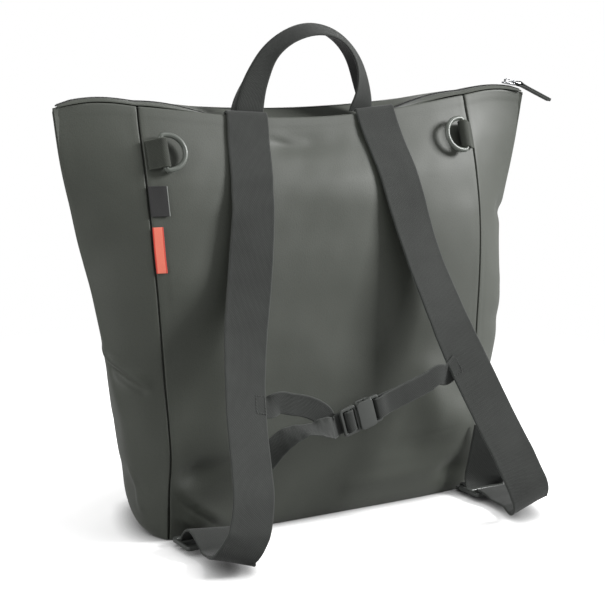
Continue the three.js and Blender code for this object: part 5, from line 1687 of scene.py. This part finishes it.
def build_chest_strap(settings):
    """The two halves of the chest strap, looped through the buckle."""
    middle = buckle_frame()
    hint = (middle.to_3x3() @ V(0, 1, 0)).normalized()
    inside = lambda x, z: (middle @ V(x, 0, z), hint)
    over = (BUCKLE_FRAME + CHEST_THICK) / 2 + GAP
    low = over + CHEST_THICK + 1.2 * GAP
    upright = V(0, 0, 1)
    left = [
        sewn_on(-1, 12),
        sewn_on(-1, -4),
        (V(-80, -128, 126.8), V(0, 0.1, 1)),
        (V(-68, -128, 124), V(0, 0.05, 1)),
        (V(-55, -127.5, 120.5), V(0.05, 0, 1)),
        (V(-45, -127.7, 116), V(0.15, 0, 1)),
        (V(-37, -128, 110), V(0.15, 0, 1)),
    ]
    left += [inside(x, z) for x, z in (
        (-29, -low - 0.4), (-24.5, -low), (-20, -low), (-10.3, -low), (-8.4, -low + 0.7), (-7.7, -2.4), (-7.7, 1),
        (-8.3, over - 0.5), (-9.4, over + 0.05), (-13.2, over), (-14.6, over - 0.5), (-15.2, 1), (-15.2, -1),
        (-15.8, -over + 0.5), (-17.2, -over), (-22.5, -over), (-28, -over + 2.6),
    )]
    left += [
        (V(-36, -138.5, 102), V(-0.1, 0.4, 0.9)),
        (V(-43, -140.5, 103), V(-0.05, 0.7, 0.7)),
        (V(-52, -141, 103), V(0, 0.88, 0.3)),
        (V(-61, -140.5, 103.5), V(0, 0.86, 0.2)),
        (V(-70, -139, 101.5), V(-0.05, 0.76, 0.4)),
        (V(-79, -137, 97.5), V(-0.2, 0.62, 0.6)),
        (V(-88, -135, 89.5), V(-0.4, 0.5, 0.72)),
        (V(-97, -133, 78.5), V(-0.56, 0.35, 0.75)),
    ]
    back = [
        inside(20, -over),
        inside(28, -over + 0.4),
        (V(36, -131, 118), upright),
        (V(48, -131, 121.8), upright),
        (V(60, -130.6, 125.4), upright),
        (V(71, -130, 129), upright),
        (V(81, -129, 132.4), V(-0.1, 0, 1)),
        (sewn_on(1, -3, RIGHT_NEAR)[0], V(-0.25, 0, 1)),
        (sewn_on(1, 12, RIGHT_FAR)[0], V(-0.3, 0, 1)),
    ]
    front = []
    for k, (at, _, _, out) in enumerate(frames(back)[2:6]):
        front.append((at + out * ((1 if out.y < 0 else -1) * (CHEST_THICK + 1.3 * GAP)), back[k + 2][1]))
    right = list(reversed(back))
    right += [inside(x, z) for x, z in (
        (17.2, -over - 0.1), (15.7, -over + 0.25), (15, -1.1), (15, 1.1), (15.7, over - 0.25), (17.2, over + 0.1),
        (20.5, over), (28, 0.6),
    )]
    right += front
    for name, path in (("left", left), ("right", right)):
        mesh = webbing("chest_" + name, path, CHEST_WIDTH, CHEST_THICK, 1.3)
        obj = finish_mesh("chest_" + name, mesh, web_of(settings, CHEST_WIDTH), smooth_angle=70)
        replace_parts(obj, "chest_strap_" + name)


def build_stitching(settings):
    """Boxes of stitches where the chest strap is sewn to the shoulder straps."""
    lines = []
    for side in (-1, 1):
        height = CHEST_HEIGHT if side < 0 else RIGHT_MIDDLE
        outer, hint = sewn_on(side, 10.5, height)
        inner, _ = sewn_on(side, 1.5, height)
        made = frames(shoulder_path(side))
        i = row_below(made, CHEST_HEIGHT)
        out = made[i][3] if made[i][3].y < 0 else -made[i][3]
        through = out * (WEB_THICK + CHEST_THICK / 2 + 2.5 * GAP + 0.25)
        half = hint.normalized() * (CHEST_WIDTH / 2 - 2)
        corners = [inner - half, inner + half, outer + half, outer - half, inner - half]
        lines.append([(p + through)[:] for p in corners])
    obj = stitches("strap_stitches", lines, thread_of(settings), 2.6, 2.0, 0.3)


# ---- Stage ----
CAMERA_TARGET = V(0, -27, 187.7)
CAMERA_DISTANCE = 1454
CAMERA_AZIMUTH = 29.9
CAMERA_ELEVATION = 11
CAMERA_ROLL = 0.19
FOCAL_PIXELS = 1600
IMAGE_PIXELS = 605
SENSOR_WIDTH = 36
FLOOR_HALF = 14  # this and the lengths below are in metres, as Blender's are
# How far and how strongly the painted contact shadow darkens the floor, and how much the floor's shadows are painted
# lighter away from contact
CONTACT_SHADE_DISTANCE = 0.022
CONTACT_SHADE_POWER = 1.3
SHADOW_LIFT = 0.4
WHITE_FROM, WHITE_TO = 0.3, 0.8
LIT_POINT = (0, 0, 0.2)
# Each light's place, the size of its panel, and its power as a share of the key light's
LIGHTS = {
    "key": ((1.95, -1.15, 1.3), (0.75, 0.75), 1),
    "top": ((0.3, -0.35, 2.1), (1.0, 0.8), 0.11),
    "fill": ((-2.0, -0.35, 0.9), (1.2, 1.2), 0.24),
    "rim": ((0.9, 1.6, 1.3), (1.2, 0.8), 0.12),
}


def build_camera():
    data = bpy.data.cameras.new("Camera")
    data.lens = SENSOR_WIDTH * FOCAL_PIXELS / IMAGE_PIXELS
    data.sensor_width = SENSOR_WIDTH
    data.clip_start, data.clip_end = 0.05, 50
    data.dof.use_dof = False
    camera = linked("Camera", data)
    bpy.context.scene.camera = camera
    a, e = math.radians(CAMERA_AZIMUTH), math.radians(CAMERA_ELEVATION)
    forward = V(math.sin(a) * math.cos(e), math.cos(a) * math.cos(e), -math.sin(e))
    camera.location = (CAMERA_TARGET - forward * CAMERA_DISTANCE) * MM
    turn = forward.to_track_quat("-Z", "Y").to_matrix() @ Matrix.Rotation(math.radians(CAMERA_ROLL), 3, "Z")
    camera.rotation_euler = turn.to_euler()


def area_light(name, place, size, power):
    data = bpy.data.lights.new(name, "AREA")
    data.shape = "RECTANGLE"
    data.size, data.size_y = size
    data.energy = power
    light = linked(name, data)
    light.location = place
    light.rotation_euler = (Vector(LIT_POINT) - Vector(place)).to_track_quat("-Z", "Y").to_euler()
    return light


def seen_first(tree, lit, seen, output):
    """What the camera sees directly, and what lights and reflects in the pieces."""
    path = new_node(tree, "ShaderNodeLightPath").outputs["Is Camera Ray"]
    both = new_node(tree, "ShaderNodeMixShader", {0: path, 1: lit.outputs[0], 2: seen.outputs[0]})
    fill(tree, output, {"Surface": both.outputs[0]})


def floor_finish(settings):
    """Pale, with a painted contact shadow where something touches it, its other shadows painted lighter, and plain
    white further away.
    """
    material, tree, shader = new_material("Floor")
    fill(tree, shader, {"Base Color": (0.42, 0.42, 0.42, 1), "Roughness": 0.9, "Specular IOR Level": 0.1})
    # Painted shadow: occlusion darkens the floor's colour near what touches it.
    contact_occlusion = new_node(tree, "ShaderNodeAmbientOcclusion", {"Distance": CONTACT_SHADE_DISTANCE}).outputs["AO"]
    contact_shade = math_node(tree, "POWER", contact_occlusion, CONTACT_SHADE_POWER)
    toned = scaled(tree, (settings.floor_light,) * 3, contact_shade)
    pale = new_node(tree, "ShaderNodeBsdfDiffuse", {"Color": toned})
    place = new_node(tree, "ShaderNodeTexCoord").outputs["Object"]
    away = new_node(tree, "ShaderNodeVectorMath", {0: place}, operation="LENGTH").outputs["Value"]
    lift = math_node(tree, "MULTIPLY", contact_shade, SHADOW_LIFT)
    inputs = {"Value": away, "From Min": WHITE_FROM, "From Max": WHITE_TO, "To Min": lift}
    ease = new_node(tree, "ShaderNodeMapRange", inputs, interpolation_type="SMOOTHSTEP").outputs["Result"]
    white = new_node(tree, "ShaderNodeEmission")
    fading = new_node(tree, "ShaderNodeMixShader", {0: ease, 1: pale.outputs[0], 2: white.outputs[0]})
    seen_first(tree, shader, fading, tree.nodes["Material Output"])
    return material


def build_stage(settings):
    """A pale floor and soft studio light."""
    build_camera()
    scene = bpy.context.scene
    scene.view_settings.view_transform = "Standard"
    world = bpy.data.worlds.new("Studio")
    scene.world = world
    world.use_nodes = True
    tree = world.node_tree
    soft = fill(tree, tree.nodes["Background"], {"Color": (1, 1, 1, 1), "Strength": settings.world_light})
    plain = new_node(tree, "ShaderNodeBackground", {"Color": (1, 1, 1, 1), "Strength": 1})
    seen_first(tree, soft, plain, tree.nodes["World Output"])
    corners = [(x * FLOOR_HALF, y * FLOOR_HALF, 0) for x, y in ((-1, -1), (1, -1), (1, 1), (-1, 1))]
    mesh = bpy.data.meshes.new("floor")
    mesh.from_pydata(corners, [], [(0, 1, 2, 3)])
    floor = linked("floor", mesh)
    mesh.materials.append(floor_finish(settings))
    for name, (place, size, share) in LIGHTS.items():
        area_light(name, place, size, settings.key_light * share)


# ---- Add-on ----
def colour_setting(name, description, default):
    """A colour that can be changed in the panel."""
    return FloatVectorProperty(name=name, description=description, default=default, subtype="COLOR", size=3)


class BackpackSettings(bpy.types.PropertyGroup):
    """Finishes and relief that can be changed before the backpack is built."""

    wrinkle: FloatProperty(name="Wrinkles", description="Strength of the cloth's folds", default=1.0, min=0, max=2)
    seam: FloatProperty(name="Seams", description="Depth of the side seams' grooves", default=0.9, min=0, max=1.5)
    cloth: colour_setting("Cloth", "Colour of the coated cloth", (0.05, 0.055, 0.045))
    webbing: colour_setting("Webbing", "Colour of the straps and handle", (0.0315, 0.034, 0.0315))
    plastic: colour_setting("Plastic", "Colour of buckle and adjusters", (0.055, 0.059, 0.055))
    lacquer: colour_setting("Rings", "Colour of the D-rings' lacquer", (0.085, 0.095, 0.082))
    silver: colour_setting("Slider", "Colour of the slider's metal", (0.42, 0.43, 0.44))
    dark_label: colour_setting("Dark label", "Colour of the upper label", (0.006, 0.006, 0.006))
    coral_label: colour_setting("Coral label", "Colour of the lower label", (0.75, 0.17, 0.11))
    key_light: FloatProperty(name="Key light", description="Power of the key light", default=102, min=0, unit="POWER")
    world_light: FloatProperty(name="World light", description="Strength of soft surroundings", default=0.3, min=0)
    floor_light: FloatProperty(name="Floor", description="How pale the floor looks", default=1.6, min=0)


class BACKPACK_OT_base(bpy.types.Operator):
    """Builds the base that lies on the floor inside the walls"""

    bl_idname = "backpack.base"
    bl_label = "Base"
    bl_options = {"REGISTER", "UNDO"}

    def execute(self, context):
        build_base(context.scene.backpack)
        return {"FINISHED"}


class BACKPACK_OT_body(bpy.types.Operator):
    """Builds the four cloth walls with their folds and seams"""

    bl_idname = "backpack.body"
    bl_label = "Body"
    bl_options = {"REGISTER", "UNDO"}

    def execute(self, context):
        build_body(context.scene.backpack)
        return {"FINISHED"}


class BACKPACK_OT_pocket(bpy.types.Operator):
    """Builds the bellows pocket on the front wall"""

    bl_idname = "backpack.pocket"
    bl_label = "Front pocket"
    bl_options = {"REGISTER", "UNDO"}

    def execute(self, context):
        build_pocket(context.scene.backpack)
        return {"FINISHED"}


class BACKPACK_OT_closure(bpy.types.Operator):
    """Builds the facings and the coil zip along the mouth"""

    bl_idname = "backpack.closure"
    bl_label = "Closure"
    bl_options = {"REGISTER", "UNDO"}

    def execute(self, context):
        build_closure(context.scene.backpack)
        return {"FINISHED"}


class BACKPACK_OT_straps(bpy.types.Operator):
    """Builds the two webbing shoulder straps"""

    bl_idname = "backpack.straps"
    bl_label = "Shoulder straps"
    bl_options = {"REGISTER", "UNDO"}

    def execute(self, context):
        build_straps(context.scene.backpack)
        return {"FINISHED"}


class BACKPACK_OT_adjusters(bpy.types.Operator):
    """Builds the three-bar adjusters and their corner loops"""

    bl_idname = "backpack.adjusters"
    bl_label = "Adjusters"
    bl_options = {"REGISTER", "UNDO"}

    def execute(self, context):
        build_adjusters(context.scene.backpack)
        return {"FINISHED"}


class BACKPACK_OT_handle(bpy.types.Operator):
    """Builds the folded webbing handle"""

    bl_idname = "backpack.handle"
    bl_label = "Carry handle"
    bl_options = {"REGISTER", "UNDO"}

    def execute(self, context):
        build_handle(context.scene.backpack)
        return {"FINISHED"}


class BACKPACK_OT_rings(bpy.types.Operator):
    """Builds the D-rings and the loops that hold them"""

    bl_idname = "backpack.rings"
    bl_label = "Rings"
    bl_options = {"REGISTER", "UNDO"}

    def execute(self, context):
        build_rings(context.scene.backpack)
        return {"FINISHED"}


class BACKPACK_OT_labels(bpy.types.Operator):
    """Builds the two bare woven labels"""

    bl_idname = "backpack.labels"
    bl_label = "Labels"
    bl_options = {"REGISTER", "UNDO"}

    def execute(self, context):
        build_labels(context.scene.backpack)
        return {"FINISHED"}


class BACKPACK_OT_slider(bpy.types.Operator):
    """Builds the slider with its link and tab"""

    bl_idname = "backpack.slider"
    bl_label = "Zip slider"
    bl_options = {"REGISTER", "UNDO"}

    def execute(self, context):
        build_slider(context.scene.backpack)
        return {"FINISHED"}


class BACKPACK_OT_buckle(bpy.types.Operator):
    """Builds the chest strap's side-release buckle"""

    bl_idname = "backpack.buckle"
    bl_label = "Buckle"
    bl_options = {"REGISTER", "UNDO"}

    def execute(self, context):
        build_buckle(context.scene.backpack)
        return {"FINISHED"}


class BACKPACK_OT_chest_strap(bpy.types.Operator):
    """Builds the two halves of the chest strap"""

    bl_idname = "backpack.chest_strap"
    bl_label = "Chest strap"
    bl_options = {"REGISTER", "UNDO"}

    def execute(self, context):
        build_chest_strap(context.scene.backpack)
        return {"FINISHED"}


class BACKPACK_OT_stitching(bpy.types.Operator):
    """Builds the boxes of stitches on the straps"""

    bl_idname = "backpack.stitching"
    bl_label = "Stitching"
    bl_options = {"REGISTER", "UNDO"}

    def execute(self, context):
        build_stitching(context.scene.backpack)
        return {"FINISHED"}


class BACKPACK_OT_stage(bpy.types.Operator):
    """Sets up the camera, a pale floor and soft studio light"""

    bl_idname = "backpack.stage"
    bl_label = "Stage"
    bl_options = {"REGISTER", "UNDO"}

    def execute(self, context):
        build_stage(context.scene.backpack)
        return {"FINISHED"}


class BACKPACK_PT_panel(bpy.types.Panel):
    """Settings and steps of the changing backpack"""

    bl_idname = "BACKPACK_PT_panel"
    bl_label = "Changing backpack"
    bl_space_type = "VIEW_3D"
    bl_region_type = "UI"
    bl_category = "Backpack"

    def draw(self, context):
        settings = context.scene.backpack
        for name in BackpackSettings.__annotations__:
            self.layout.prop(settings, name)
        for operator in STEPS:
            self.layout.operator(operator.bl_idname)


STEPS = (
    BACKPACK_OT_stage,
    BACKPACK_OT_base,
    BACKPACK_OT_body,
    BACKPACK_OT_pocket,
    BACKPACK_OT_closure,
    BACKPACK_OT_straps,
    BACKPACK_OT_adjusters,
    BACKPACK_OT_handle,
    BACKPACK_OT_rings,
    BACKPACK_OT_labels,
    BACKPACK_OT_slider,
    BACKPACK_OT_buckle,
    BACKPACK_OT_chest_strap,
    BACKPACK_OT_stitching,
)
CLASSES = (BackpackSettings, *STEPS, BACKPACK_PT_panel)


def register():
    for made in CLASSES:
        bpy.utils.register_class(made)
    bpy.types.Scene.backpack = PointerProperty(type=BackpackSettings)


def unregister():
    del bpy.types.Scene.backpack
    for made in reversed(CLASSES):
        bpy.utils.unregister_class(made)


def main():
    register()
    for operator in STEPS:
        name = operator.bl_idname.split(".")[1]
        if getattr(bpy.ops.backpack, name)() != {"FINISHED"}:
            raise RuntimeError(operator.bl_label + " wasn't built")


if __name__ == "__main__":
    main()
